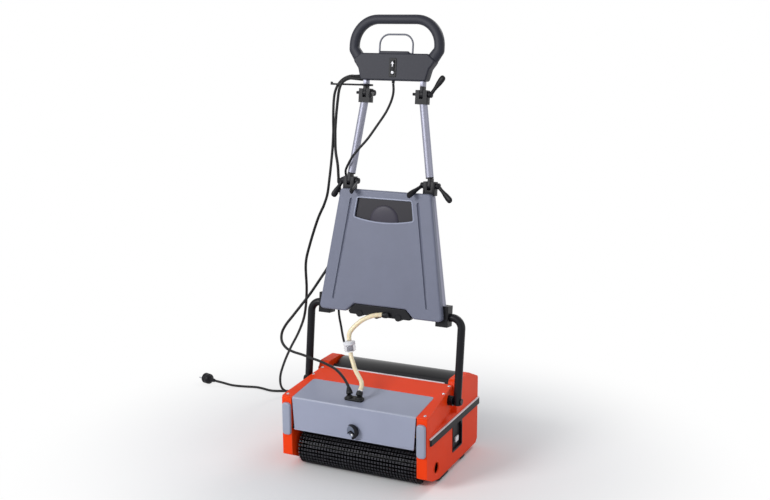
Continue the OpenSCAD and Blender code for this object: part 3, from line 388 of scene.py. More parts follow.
# %% Metals
# The paler edge colour here is partly wear and partly a painted highlight.
finish("black_powder_coat", (12, 12, 19), 0.38, grains=1500, spread=0.08, coat=0.04, wear_and_highlight=(56, 56, 68),
       wear_and_highlight_width=0.001, dust=0, shine=0.2)
finish("drawn_aluminium", (146, 147, 162), 0.46, depth=0.00003, lines=700, metal=0.7, dust=0)
finish("bright_steel", (186, 188, 194), 0.26, depth=0.00002, lines=900, metal=1, dust=0)
finish("plated_wire", (92, 94, 104), 0.42, depth=0.00002, lines=900, metal=0.5, dust=0)
finish("bronze_bush", (190, 142, 76), 0.34, depth=0.00003, lines=600, metal=1, spread=0.12, dust=0)
print("with metals", len(finishes))

# %% Rubber, nylon and cord
finish("bumper_rubber", (20, 21, 24), 0.52, grains=500, depth=0.00006, spread=0.14, dust=0.05, shine=0.25)
finish("drum_rubber", (14, 14, 18), 0.32, grains=420, depth=0.00003, spread=0.16, size=14, coat=0.06,
       dust=0.01, shine=0.32)
finish("nylon_bristle", (13, 13, 15), 0.44, grains=1500, spread=0.3, size=60, shine=0.25)
# The paler grey of the tuft tips is a painted highlight on their cut ends.
finish("bristle_tip_highlight", (92, 92, 98), 0.5, grains=1500, spread=0.3, size=60, shine=0.3)
finish("cord_jacket", (15, 15, 18), 0.46, grains=600, depth=0.00005, spread=0.12, size=30, shine=0.28)
finish("strainer_grey", (44, 42, 50), 0.5, grains=2400, depth=0.0001, spread=0.2, size=200, dust=0)
print("finishes", len(finishes))

# %% [markdown]
# ### Hose and filter
# The solution hose is soft cream PVC with a braid that shows faintly as crossing threads,
# and the filter bowl is clear plastic. The braid follows the hose, so it reads the
# tube's own UV map: one direction runs along the hose and the other goes round it.

# %% Hose and filter finishes
tree, shader = finish("cream_hose", (236, 220, 182), 0.34, grains=500, depth=0.00003, coat=0.2, dust=0)
uv = node(tree, "SeparateXYZ", {0: node(tree, "TexCoord", {}).outputs["UV"]}).outputs
threads = []
for turns in (8, -8):
    run = calc(tree, "MULTIPLY", uv["X"], 160)
    both = calc(tree, "ADD", run, calc(tree, "MULTIPLY", uv["Y"], turns))
    threads.append(calc(tree, "SINE", calc(tree, "MULTIPLY", both, 2 * math.pi)))
braid = calc(tree, "GREATER_THAN", calc(tree, "MAXIMUM", *threads), 0.9)
cream = shader.inputs["Base Color"].links[0].from_socket
cream = mixed(tree, calc(tree, "MULTIPLY", braid, 0.35), cream, (252, 244, 214))
tree.links.new(cream, shader.inputs["Base Color"])
shader.inputs["Subsurface Weight"].default_value = 0.15
shader.inputs["Subsurface Radius"].default_value = (0.006, 0.004, 0.002)

tree, shader = finish("clear_bowl", (222, 220, 230), 0.08, grains=400, depth=0.00001, spread=0.04, coat=0.6,
                      dust=0, gloss_swing=0.04)
shader.inputs["Alpha"].default_value = 0.34
print("hose and bowl ready")

# %% [markdown]
# ## Shaping helpers
# Every new piece goes through one helper, which merges doubles, turns the faces outwards
# and marks as sharp only the edges that really are. The pieces are modelled at their
# place, so their objects stay at the origin. Two frames help with that: the handle leans
# back by about seven degrees from its pivots, and the top of the base slopes up to the
# rear. Vertices nearer than `MERGE` metres become one. A face is broad from ten square
# centimetres, a strip beside it is narrow below three tenths of its area, and an edge
# that bends by less than `FLAT` does not show.

# %% Frames and the piece helper
PIVOT_Y, PIVOT_UP, LEAN = -10, 205, 6.96
FRONT_Y, RIDGE_UP, SLOPE_RISE, SLOPE_RUN = -190, 214, 24, 215
MERGE, FLAT = 2e-6, math.radians(1)
BROAD, NARROW = 0.001, 0.3
slope = math.atan2(SLOPE_RISE, SLOPE_RUN)
handle = move(0, PIVOT_Y, PIVOT_UP) @ spin(-LEAN, "X")
slope_top = move(0, FRONT_Y, RIDGE_UP) @ Matrix.Rotation(slope, 4, "X")


def is_land(face, angle):
    """Whether a face is a broad flat one, with only narrow rounded strips along it."""
    area = face.calc_area()
    if area <= BROAD:
        return False
    beside = [f.calc_area() for e in face.edges for f in e.link_faces
              if f is not face and FLAT < e.calc_face_angle(0) < math.radians(angle)]
    return all(a < NARROW * area for a in beside)


def cleaned(bm):
    """Merges the doubles and turns the faces outwards."""
    bmesh.ops.remove_doubles(bm, verts=bm.verts, dist=MERGE)
    bmesh.ops.recalc_face_normals(bm, faces=bm.faces)
    return bm


def placed(name, mesh, look, body=None, node=None):
    """The mesh becomes an object that rides on a body and stands for a CAD node."""
    mesh.materials.append(finishes[look])
    obj = bpy.data.objects.new(name, mesh)
    scene.collection.objects.link(obj)
    if body:
        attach(obj, body)
    if node:
        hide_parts(node)
    return obj


def piece(name, bm, body, look, node=None, at=Matrix(), angle=32, turn_out=True):
    """The bmesh becomes a piece, with a sharp edge where faces meet at more than the angle."""
    bm.transform(at)
    if turn_out:
        cleaned(bm)
    for face in bm.faces:
        face.smooth = not is_land(face, angle)
    for edge in bm.edges:
        edge.smooth = len(edge.link_faces) == 2 and edge.calc_face_angle(0) < math.radians(angle)
    mesh = bpy.data.meshes.new(name)
    bm.to_mesh(mesh)
    bm.free()
    return placed(name, mesh, look, body, node)


print("handle leans", LEAN, "slope", round(math.degrees(slope), 2))


# %% Turned shapes
def put(target, part, place=Matrix()):
    """Adds one bmesh to another, at a place."""
    part.transform(place)
    held = bpy.data.meshes.new("held")
    part.to_mesh(held)
    part.free()
    target.from_mesh(held)
    bpy.data.meshes.remove(held)


def turned(profile, steps):
    """A shape turned on a lathe: (radius, height) pairs in millimetres, spun round Z."""
    bm = bmesh.new()
    verts = [bm.verts.new((r / 1000, 0, h / 1000)) for r, h in profile]
    edges = [bm.edges.new(pair) for pair in zip(verts, verts[1:])]
    bmesh.ops.spin(bm, geom=verts + edges, axis=(0, 0, 1), cent=(0, 0, 0), angle=2 * math.pi,
                   steps=steps, use_merge=True)
    return cleaned(bm)


def ribs(count, *corners):
    """The profile of a ribbed sleeve; a corner is a radius, its step, a height and its step."""
    return [(r + dr * k, h + dh * k) for k in range(count) for r, dr, h, dh in corners]


def aimed(base, direction, up="Y"):
    """The matrix that takes Z onto a direction, standing at a point."""
    return Matrix.Translation(base) @ Vector(direction).to_track_quat("Z", up).to_matrix().to_4x4()


# %% Boxes and plates
def round_off(bm, edges, width, segments, clamp=True):
    """A bevel whose width is in millimetres."""
    bmesh.ops.bevel(bm, geom=edges, offset=width / 1000, segments=segments, profile=0.5,
                    affect="EDGES", material=-1, clamp_overlap=clamp)


def block(x0, x1, y0, y1, z0, z1, edge, segments=2):
    """A box in millimetres with its edges rounded."""
    bm = bmesh.new()
    bmesh.ops.create_cube(bm, size=1)
    bmesh.ops.scale(bm, vec=mm(x1 - x0, y1 - y0, z1 - z0), verts=bm.verts)
    bmesh.ops.translate(bm, vec=mm((x0 + x1) / 2, (y0 + y1) / 2, (z0 + z1) / 2), verts=bm.verts)
    round_off(bm, bm.edges[:], edge, segments)
    return bm


def new_verts(grown):
    return [g for g in grown["geom"] if isinstance(g, bmesh.types.BMVert)]


def plate(outline, y0, y1, edge, segments=2, front_only=False):
    """An outline of (x, z) in millimetres, made solid from y0 to y1, with its rims rounded."""
    bm = bmesh.new()
    face = bm.faces.new([bm.verts.new(mm(x, y1, z)) for x, z in outline])
    grown = bmesh.ops.extrude_face_region(bm, geom=[face])
    bmesh.ops.translate(bm, vec=mm(0, y0 - y1, 0), verts=new_verts(grown))
    bmesh.ops.recalc_face_normals(bm, faces=bm.faces)
    caps = [f for f in bm.faces if abs(f.normal.y) > 0.9]
    if front_only:
        caps = [f for f in caps if f.calc_center_median().y < (y0 + y1) / 2000]
    round_off(bm, list({e for f in caps for e in f.edges}), edge, segments)
    return bm


# %% Outlines
def arc(cx, cz, r, a0, a1, n=14):
    """Points (x, z) along an arc, the angles in degrees."""
    angles = [math.radians(a0 + (a1 - a0) * k / n) for k in range(n + 1)]
    return [(cx + r * math.cos(a), cz + r * math.sin(a)) for a in angles]


def corner_outline(x0, x1, z0, z1, r):
    """A rectangle with round corners."""
    corners = ((x1 - r, z1 - r), (x0 + r, z1 - r), (x0 + r, z0 + r), (x1 - r, z0 + r))
    return [p for i, (cx, cz) in enumerate(corners) for p in arc(cx, cz, r, 90 * i, 90 * i + 90, 8)]


def both_halves(*corners):
    """Corners and their mirror images, in the order of an outline."""
    return list(corners) + [(-x, s, r) for x, s, r in reversed(corners)]


def rounded_outline(corners, n=6):
    """An outline in millimetres; a corner is its x, its height and the radius of its arc."""
    points = []
    for i, (x, s, r) in enumerate(corners):
        here = Vector((x, s))
        u = (Vector(corners[i - 1][:2]) - here).normalized()
        v = (Vector(corners[(i + 1) % len(corners)][:2]) - here).normalized()
        half = u.angle(v) / 2
        if r <= 0 or half > math.radians(89):
            points.append(here)
            continue
        a, b = here + u * r / math.tan(half), here + v * r / math.tan(half)
        c = here + (u + v).normalized() * r / math.sin(half)
        a0, a1 = math.atan2(*(a - c).yx), math.atan2(*(b - c).yx)
        sweep = (a1 - a0 + math.pi) % (2 * math.pi) - math.pi
        angles = [a0 + sweep * k / n for k in range(n + 1)]
        points += [c + r * Vector((math.cos(t), math.sin(t))) for t in angles]
    return points


print("points round a square", len(corner_outline(-1, 1, -1, 1, 0.5)))

# %% [markdown]
# ## Softened edges
# A solid model has knife edges, and a real moulding never has: light catches on its
# rounded corners. For most nodes it is enough to copy the solid's mesh, merge its loose
# triangles, dissolve the flat ones into whole faces and bevel the edges that are left.
# Where many short edges meet, a wide bevel throws spikes. So the distance of every new
# vertex from the old skin is measured, and the width is cut back until none strays.

# %% The softening helper
from mathutils.bvhtree import BVHTree

STRAY, CUT_BACK, LEAST_WIDTH = 0.62, 0.7, 0.25
OVERLAP = 1.002


def merged_copy(solid):
    """The solid's mesh as a bmesh of whole faces."""
    bm = bmesh.new()
    bm.from_mesh(solid.data)
    bmesh.ops.remove_doubles(bm, verts=bm.verts, dist=MERGE)
    bmesh.ops.dissolve_limit(bm, angle_limit=FLAT, verts=bm.verts, edges=bm.edges)
    bmesh.ops.recalc_face_normals(bm, faces=bm.faces)
    return bm


def folded(bm):
    """Whether a face crosses itself, so that its triangles cover more than its area."""
    covered = sum(((b.vert.co - a.vert.co).cross(c.vert.co - a.vert.co)).length / 2
                  for a, b, c in bm.calc_loop_triangles())
    return covered > OVERLAP * sum(f.calc_area() for f in bm.faces)


def softened(name, look, width, segments=2, angle=30, trim=None):
    """A copy of a node's solid with its hard edges rounded by up to a width in millimetres."""
    solid = frame["nodes"][name]
    while True:
        bm = merged_copy(solid)
        if trim:
            trim(bm)
        skin = BVHTree.FromBMesh(bm)
        hard = [e for e in bm.edges if len(e.link_faces) == 2 and e.calc_face_angle(0) > math.radians(angle)]
        round_off(bm, hard, width, segments, clamp=False)
        stray = max(skin.find_nearest(v.co)[3] for v in bm.verts) * 1000
        if (stray < STRAY * width and not folded(bm)) or width < LEAST_WIDTH:
            break
        bm.free()
        width *= CUT_BACK
    print(name, "rounded by", round(width, 2), "mm")
    piece(name + "_soft", bm, solid["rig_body"], look, name, turn_out=False)


# %% [markdown]
# ## Cords
# Four cords leave the head and the tank: the mains cord, the lead to the motor, the
# control cable to the valve and the solution hose. A cord is one smooth curve through
# route points, turned into a tube. Where a joint of the handle lies beside it, the cord is
# made in stretches, one beside each joint. The mains cord is ten metres long, and most of
# it lies in a tied coil behind the machine.

# %% Curve and tube helpers
def smooth(points, n=6):
    """A Catmull-Rom curve through points given in millimetres, in metres."""
    p = [mm(*q) for q in points]
    line = []
    for a, b, c, d in zip([p[0]] + p, p, p[1:], p[2:] + [p[-1]]):
        for k in range(n):
            t = k / n
            line.append(0.5 * (2 * b + (c - a) * t + (2 * a - 5 * b + 4 * c - d) * t * t
                               + (3 * b - a - 3 * c + d) * t ** 3))
    return line + [p[-1]]


def measure(line):
    return sum((b - a).length for a, b in zip(line, line[1:]))


def tube(line, diameter, resolution=2, closed=False):
    """A mesh tube along a line, made from a bevelled curve."""
    data = bpy.data.curves.new("tube", "CURVE")
    data.dimensions, data.bevel_depth, data.bevel_resolution = "3D", diameter / 2, resolution
    data.use_fill_caps = not closed
    spline = data.splines.new("POLY")
    spline.points.add(len(line) - 1)
    spline.use_cyclic_u = closed
    for point, place in zip(spline.points, line):
        point.co = (*place, 1)
    holder = bpy.data.objects.new("tube", data)
    mesh = bpy.data.meshes.new_from_object(holder)
    bpy.data.objects.remove(holder)
    bpy.data.curves.remove(data)
    mesh.materials.clear()
    for polygon in mesh.polygons:
        polygon.use_smooth = True
    return mesh


# %% Routes of the cords, in millimetres
mains_route = [[-126, 96, 1080], [-140, 97, 1080], [-154, 97, 1076], [-168, 96, 1068],
    [-180, 94, 1054], [-188, 91, 1034], [-191, 88, 1008], [-190, 82, 968], [-187, 76, 924],
    [-186, 68, 880], [-187, 60, 836], [-190, 53.5, 790.5], [-197, 52, 744], [-211, 54, 709],
    [-236, 62, 665], [-270, 74, 585], [-291, 86, 524], [-301, 106, 438], [-324, 132, 354],
    [-366, 168, 284], [-420, 206, 212], [-466, 242, 146], [-500, 272, 84], [-512, 300, 34],
    [-500, 330, 8], [-470, 352, 4.2], [-420, 364, 4], [-340, 366, 4], [-240, 362, 4], [-160, 352, 4]]
mains_tail = [[-180, 380, 4], [-260, 386, 4], [-360, 388, 4], [-450, 378, 4], [-520, 354, 4],
    [-570, 334, 4], [-610, 340, 4], [-640, 342, 4], [-680, 331, 4], [-720, 320, 6], [-750, 313, 12],
    [-781, 306, 18]]
lead_route = [[-126, 86, 1074], [-138, 85, 1074], [-150, 80, 1069], [-159, 76, 1060], [-166, 74, 1042],
    [-171, 74, 1012], [-176, 73, 968], [-178, 70, 926], [-174, 63, 873], [-165, 58, 831],
    [-162, 57, 790], [-160, 64, 750], [-160, 80, 700], [-164, 88, 640], [-180, 84, 580],
    [-203, 64, 530], [-222, 44, 492], [-240, 22, 456], [-254, 6, 432], [-286, -6, 388],
    [-306, -14, 360], [-316, -20, 336], [-312, -28, 314], [-292, -38, 299], [-264, -46, 293],
    [-229, -56, 292], [-191, -66, 289], [-150, -78, 286], [-100, -98, 280], [-62, -122, 268],
    [-36, -142, 252], [-29, -149, 237]]
control_route = [[-1, 80, 1063.3], [0, 80, 1048], [-1, 78, 1032], [-6, 72, 1010], [-18, 64, 982],
    [-38, 55, 950], [-64, 47, 912], [-88, 40, 884], [-108, 38, 860], [-128, 42, 829], [-139, 56, 815],
    [-144, 68, 800], [-147, 71, 785], [-150, 71, 752], [-152, 84, 700], [-152, 90, 640],
    [-153, 86, 580], [-156, 76, 520], [-158, 62, 470], [-158, 42, 432], [-146, 18, 404],
    [-124, -12, 378], [-106, -36, 356], [-92, -54, 344]]
hose_top = [[14, -24, 431], [2, -30, 431], [-16, -38, 427], [-38, -46, 416], [-58, -54, 398],
    [-72, -60, 378], [-73, -62.5, 357.5]]
hose_low = [[-66.7, -66.5, 322], [-62, -71, 311], [-52, -79, 297], [-42, -88, 283], [-24, -102, 270],
    [-8, -118, 262], [0, -132, 254], [1, -142, 246], [1, -149, 236]]
print("points", sum(map(len, (mains_route, mains_tail, lead_route, control_route, hose_top, hose_low))))

# %% [markdown]
# ### The coil
# Four layers of four turns lie beside and on each other, a cord's diameter apart. The
# cord comes in along the floor, curves onto the outer turn and winds inwards, steps up
# one layer and winds outwards, and so on. From the top layer it leaves down to the floor.

# %% The coil's centreline
COIL_X, COIL_Y = -20, 364
COIL_START = 214
COIL_RADII = [84, 76, 68, 60]
TURN_STEPS = 24
CORD_THICK = 8


def by_coil(radius, degrees, up):
    """A point round the middle of the coil."""
    a = math.radians(degrees)
    return [COIL_X + radius * math.cos(a), COIL_Y + radius * math.sin(a), up]


def coil_line():
    """The coil's points; each turn steps over to the next one in its last quarter."""
    points, radii = [], COIL_RADII
    for layer in range(4):
        for turn_no, radius in enumerate(radii):
            after = radii[min(turn_no + 1, 3)]
            climbs = turn_no == 3 and layer < 3
            for part in [k / TURN_STEPS for k in range(TURN_STEPS)]:
                step = max(0, (part - 0.75) / 0.25)
                up = CORD_THICK * (0.5 + layer + step * climbs)
                points.append(by_coil(radius + (after - radius) * step, COIL_START + 360 * part, up))
        radii = radii[::-1]
    return points


coil = coil_line()
leave = [by_coil(85, COIL_START + 12 * k, 28) for k in range(22)]
leave += [[-88, 423, 26], [-112, 405, 18], [-140, 391, 9]]
base_line = smooth(mains_route[24:] + [[-125, 350, 4], [-102, 341, 4]] + coil + leave + mains_tail, 3)
print("cord on the floor", round(measure(base_line), 2), "m, coil", round(measure(smooth(coil, 3)), 2), "m")

# %% [markdown]
# ### Stretches across the joints
# A stretch that only rides on one body is a plain tube. A stretch beside a joint is a
# tube baked in place, riding on neither body. It begins where the one before it ends.
# The first word of its name tells which cord it belongs to.

# %% Cord stretches
CORDS = {
    "mains": (0.008, "cord_jacket", "cord_black", "mains_cord"),
    "lead": (0.008, "cord_jacket", "cord_black", "motor_lead"),
    "control": (0.007, "cord_jacket", "cord_black", "control_cable"),
    "hose": (0.013, "cream_hose", "hose_yellow", "solution_hose"),
}


def cord(name, line, bodies, start=None, end=None, far="object", lay="hanging", extra=(), more_nodes=()):
    """One stretch of a cord, on one body or baked in place between two."""
    diameter, look, slot, node = CORDS[name.split("_")[0]]
    obj = placed(name, tube(line, diameter), look)
    if len(bodies) == 2:
        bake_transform(obj)
    else:
        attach(obj, bodies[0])
    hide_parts(node, *more_nodes)


for name, points, bodies, *ends in [
        ("mains_at_head", mains_route[:9], ("head", "upper_column"), (-150, 95, 1062), (-190, 80, 950)),
        ("mains_at_fold", mains_route[8:14], ("upper_column", "column"), (-186, 66, 862), (-205, 54, 722)),
        ("mains_down", mains_route[13:25], ("column", "base"), (-215, 56, 700), (-505, 290, 60)),
        ("lead_at_head", lead_route[:8], ("head", "upper_column"), (-150, 80, 1062), (-176, 72, 950)),
        ("lead_down", lead_route[12:], ("column", "base"), (-222, 44, 492), (-110, -94, 281)),
        ("control_at_head", control_route[:6], ("head", "upper_column"), (-1, 78, 1048), (-34, 56, 960)),
        ("control_down", control_route[14:], ("column",)),
        ("hose_above", hose_top, ("column",)),
        ("hose_below", hose_low, ("column", "base"), (-66.7, -66.5, 322), (1, -142, 246))]:
    cord(name, smooth(points), bodies, *ends)

# %% [markdown]
# ### Tie, straps and plug
# A hook-and-loop tie holds the lead and the cable together beside the fold. Three straps
# hold the coil. The plug is a turned moulding with two round pins and a ribbed sleeve
# that keeps the cord from kinking.

# %% Tie beside the fold
def strap(points, width, thick, normal):
    """A closed flat band: points in millimetres, its width along a direction."""
    bm = bmesh.new()
    out = Vector(normal).normalized() * width / 2000
    low = [bm.verts.new(mm(*q) - out) for q in points]
    edges = [bm.edges.new(pair) for pair in zip(low, low[1:] + low[:1])]
    grown = bmesh.ops.extrude_edge_only(bm, edges=edges)
    bmesh.ops.translate(bm, vec=out * 2, verts=new_verts(grown))
    bmesh.ops.recalc_face_normals(bm, faces=bm.faces)
    bmesh.ops.solidify(bm, geom=bm.faces[:], thickness=thick / 1000)
    return bm


def round_two(a, b, r):
    """A loop round two parallel round things whose centres are a and b (x, y)."""
    way = math.degrees(math.atan2(b[1] - a[1], b[0] - a[0]))
    return arc(*a, r, way + 90, way + 270, 8) + arc(*b, r, way - 90, way + 90, 8)


loop = [(x, y, 787) for x, y in round_two((-162, 57.4), (-147, 70.8), 4.9)]
bm = strap(loop, 13, 1.1, (0, 0, 1))
put(bm, block(-161, -147, 53, 57, 783, 791, 1.2))
tie = piece("cord_tie", bm, None, "black_plastic")
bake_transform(tie)
cord("lead_at_fold", smooth(lead_route[7:13]), ("upper_column", "column"), (-172, 62, 862), (-161, 66, 750),
     extra=[tie])
cord("control_at_fold", smooth(control_route[5:15]), ("upper_column", "column"), (-120, 40, 862),
     (-150, 74, 750))
print("tie round", len(loop), "points")

# %% Coil straps
side = [(55.2, 3), (55.2, 29), (57.5, 32.6), (86, 32.6), (89, 29), (89, 3), (86.5, 1), (57.5, 1)]
straps = []
for i, a in enumerate((35, 145, 270)):
    across_coil = spin(a, "Z") @ Vector((0, 1, 0))
    bm = strap([by_coil(r, a, z) for r, z in side], 16, 0.8, across_coil)
    straps.append(piece(f"coil_strap_{i + 1}", bm, "base", "black_plastic"))
print("straps", len(straps))

# %% Plug
plug_at = aimed(mm(-782, 306, 18), spin(165, "Z") @ Vector((1, 0, 0)))
sleeve = ribs(6, (5, 0.5, 0.5, 3.2), (5.6, 0.5, 1.2, 3.2), (5.6, 0.5, 2.4, 3.2), (5, 0.5, 3, 3.2))
grip = [(9, 19.5), (13, 21), (16.4, 24.5), (17.6, 29), (17.6, 33), (16.6, 35), (16.6, 38), (17.6, 40),
        (17.8, 46.5), (16.6, 49.4), (14, 50), (0, 50)]
plug = piece("mains_plug_body", turned([(4.2, -1)] + sleeve + grip, 40), "base", "black_plastic",
             at=plug_at)
bm = bmesh.new()
for x in (-9.5, 9.5):
    pin = turned([(0, 49.5), (2.4, 49.5), (2.4, 66.6), (1.9, 68.2), (0, 69)], 20)
    put(bm, pin, plug_at @ move(x, 0, 0))
pins = piece("mains_plug_pins", bm, "base", "bright_steel", "mains_plug")
cord("mains_on_floor", base_line, ("base",), far="plug", lay="coiled", extra=[plug, pins] + straps,
     more_nodes=["mains_coil"])
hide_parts("mains_plug")

# %% [markdown]
# ## The base
# The base is two moulded side housings joined by bars. Between them turn the brushes and
# the drum, and a sloping top frame with a grey cover closes the front. The housings, the
# frame and the cover take their shape from the solids, with their edges softened.

# %% Housings, top frame and cover
softened("side_housing_left", "orange_moulding", 2.2, 3)
softened("side_housing_right", "orange_moulding", 2.2, 3)
softened("bearing_plates", "orange_moulding", 0.5, 1)
softened("hood_frame", "orange_moulding", 1.2)
softened("front_cover", "cover_grey", 0.8, angle=5)
softened("bumper_strips", "bumper_rubber", 1.2)
softened("side_skirts", "bumper_rubber", 1.5)
softened("chassis_bars", "black_powder_coat", 0.4, 1)

# %% [markdown]
# ### Corner pads
# A soft pad covers each front corner, so that the machine may touch a skirting board. It
# is a lozenge with a crowned face: an outline with round ends, extruded and then bevelled
# in several steps, so that light slides over it.

# %% Corner pads
def mirrored(side):
    """Keeps a shape where it is for 1, and mirrors it to the left for -1."""
    return Matrix.Scale(side, 4, (1, 0, 0))


bm = bmesh.new()
for side in (-1, 1):
    pad = plate(corner_outline(191, 217, 102, 196, 9), -198, -189.8, 4.5, 5, front_only=True)
    put(bm, pad, mirrored(side))
piece("corner_pads_crowned", bm, "base", "pad_blue", "corner_pads", angle=40)
print("pads made")

# %% [markdown]
# ### Painted highlight lines, axle lip and screws
# Thin pale strips are painted highlights along the cover's lower edge and the top of the
# side strips. A pressed lip rings the hole where the brush axle is reached. A screw has a
# low turned dome for its head, and two thin bars across the dome draw its cross.

# %% Painted highlight lines and axle lip
BRUSH_Y, BRUSH_AXIS = 124, 52
# A pale strip painted as the highlight along the cover's lower edge.
bm = block(-180, 180, -191.8, -189.9, 120.4, 123.4, 0.6)
piece("cover_edge_highlight", bm, "base", "pale_plastic")
# Pale strips painted as the highlight along the top of each side strip.
bm = bmesh.new()
for side in (-1, 1):
    put(bm, block(220.2, 225.4, -176, 190, 149.8, 153.2, 0.9), mirrored(side))
piece("side_strip_highlight", bm, "base", "pale_plastic")
bm = turned([(15.2, -2.6), (17.4, -0.4), (18.6, 0.6), (17.8, 1.3), (16.6, 1), (15.4, -0.4), (15, -2.2),
             (15.2, -2.6)], 40)
piece("axle_hole_lip", bm, "base", "orange_moulding",
      at=move(220, -BRUSH_Y, BRUSH_AXIS) @ spin(90, "Y"))
print("trim made")

# %% Screws
bm = bmesh.new()
for side in (-1, 1):
    for x, up_slope in ((200, 204.3), (203, 154.3), (208, 14)):
        seat = slope_top @ move(side * x, up_slope, 0)
        put(bm, turned([(4.2, 0), (4.2, 0.6), (3.612, 1.56), (2.1, 1.92), (0, 2)], 24), seat)
        for angle in (20, 110):
            put(bm, block(-2.4, 2.4, -0.45, 0.45, 1.4, 2.15, 0.15, 1), seat @ spin(angle, "Z"))
piece("housing_screw_heads", bm, "base", "bright_steel", "housing_screws")
print("screws made")

# %% [markdown]
# ## Brushes
# A cylindrical brush is a tube with rings of nylon tufts. Seen from outside, the tufts
# read as a regular grid, because each is set in its own drilled hole. One tuft is four
# thin strands that splay a little outwards and differ by a hair in length. It is repeated
# more than a thousand times, so a strand has very few faces. The cut ends take a second,
# paler material: a painted highlight on the tips of the black tufts.

# %% Tufts
TUFT_SPREAD = 0.0012


def strand():
    """A three-sided cone that is open at its hidden end, with its tip in the second material."""
    bm = bmesh.new()
    bmesh.ops.create_cone(bm, cap_ends=True, segments=3, radius1=0.0011, radius2=0.00165, depth=0.0302)
    bmesh.ops.translate(bm, vec=(0, 0, 0.0366), verts=bm.verts)
    bottom = [f for f in bm.faces if f.normal.z < -0.9]
    bmesh.ops.delete(bm, geom=bottom, context="FACES_ONLY")
    for face in bm.faces:
        face.material_index = int(face.normal.z > 0.9)
    return bm


bm = bmesh.new()
for k in range(4):
    a = math.radians(90 * k + 45)
    aside = Matrix.Translation((TUFT_SPREAD * math.cos(a), TUFT_SPREAD * math.sin(a), 0))
    splay = spin(1.3, (-math.sin(a), math.cos(a), 0))
    put(bm, strand(), aside @ splay @ Matrix.Scale(0.988 - 0.01 * (k % 3), 4, (0, 0, 1)))
tuft = bpy.data.meshes.new("one_tuft")
bm.to_mesh(tuft)
bm.free()
print("faces in a tuft", len(tuft.polygons))


# %% Rings of tufts
RINGS, AROUND, PITCH = 40, 30, 9.1


def brush(body, y):
    """Tufts in rings along a brush's axis."""
    bm = bmesh.new()
    for k in range(RINGS):
        middle = move((k - (RINGS - 1) / 2) * PITCH, y, BRUSH_AXIS)
        for row in range(AROUND):
            start = len(bm.verts)
            bm.from_mesh(tuft)
            bm.verts.ensure_lookup_table()
            place = middle @ spin(360 * row / AROUND, "X")
            bmesh.ops.transform(bm, matrix=place, verts=bm.verts[start:])
    made = piece(body + "_tufts", bm, body, "nylon_bristle", body + "_bristles", turn_out=False)
    # The cut ends take the painted highlight of the tips.
    made.data.materials.append(finishes["bristle_tip_highlight"])
    print(body, "faces", len(made.data.polygons))


brush("front_brush", -BRUSH_Y)
brush("rear_brush", BRUSH_Y)

# %% [markdown]
# ## Drum, tray and catch
# The drum lifts the dirty water into the tray. It is a smooth rubber-faced tube with a
# pierced plate at each end. The tray slides out at the side, behind a black bezel with a
# pale latch. A turn catch on the front holds the cover.

# %% Drum, scraper and tray
softened("conveyor_drum", "drum_rubber", 1.2)
softened("recovery_tank", "black_plastic", 0.8)
softened("tank_bezel", "black_plastic", 0.8)
softened("drum_scraper", "black_plastic", 0.3, 1)
# A pale strip painted as the highlight along the hood's rear edge.
bm = block(-178, 180, 25.6, 29.4, 233, 239.8, 0.8)
piece("hood_edge_highlight", bm, "base", "pale_plastic")

# %% Tray latch
bm = block(213.4, 218, 23.2, 44.8, 69.2, 84.8, 1.2, 3)
for z in (72.5, 76, 79.5):
    put(bm, block(217.4, 218.3, 27, 41, z, z + 1.5, 0.4, 1))
piece("tank_latch_tongue", bm, "drawer_latch", "pale_plastic", "tank_latch")

# %% [markdown]
# ### Turn catch
# The catch is a grey disc on a spindle, with a black crescent along one side for the
# finger and a thin bar that leads from it to the middle. The crescent is an outline
# between two arcs with different centres, so it is thick in the middle and thin at its
# ends. A small rivet at its foot is painted pale as a highlight.

# %% Turn catch
CATCH_UP = 146
facing_front = move(0, -194, CATCH_UP) @ spin(90, "X")
bm = turned([(0, -19.9), (5, -19.9), (5, -3.8), (15.5, -3.8), (16, -3), (16, -1.6), (15.4, -0.8),
             (13.4, -0.4), (12.8, -1), (0, -1)], 40)
piece("cover_catch_disc", bm, "catch", "disc_grey", "cover_catch", at=facing_front)
bm = plate(arc(1, 0, 20.5, 112, -78) + arc(-5, 1, 17.6, -62, 88), -204.6, -194.4, 2.6, 4)
bar = [(12, -12.6), (13.5, -9.4), (-3.5, 1.6), (-12.4, -6), (-11, -8), (-3.4, -2.2)]
put(bm, plate(bar, -200, -194.4, 0.8))
piece("cover_catch_crescent", bm, "catch", "black_plastic", at=move(0, 0, CATCH_UP))
# A small rivet, painted pale as a highlight on the catch.
bm = turned([(0, 0), (3.2, 0), (3, 1.2), (1.8, 1.9), (0, 2.1)], 20)
piece("cover_catch_rivet_highlight", bm, "catch", "pale_plastic",
      at=move(2.5, -4.6, -9) @ facing_front)

# %% [markdown]
# ## Gland
# The lead and the hose go into the cover through one rubber plate. Each has its own
# collar: ribbed round the lead, so that it bends without kinking, and plain with a clamp
# ring round the hose.

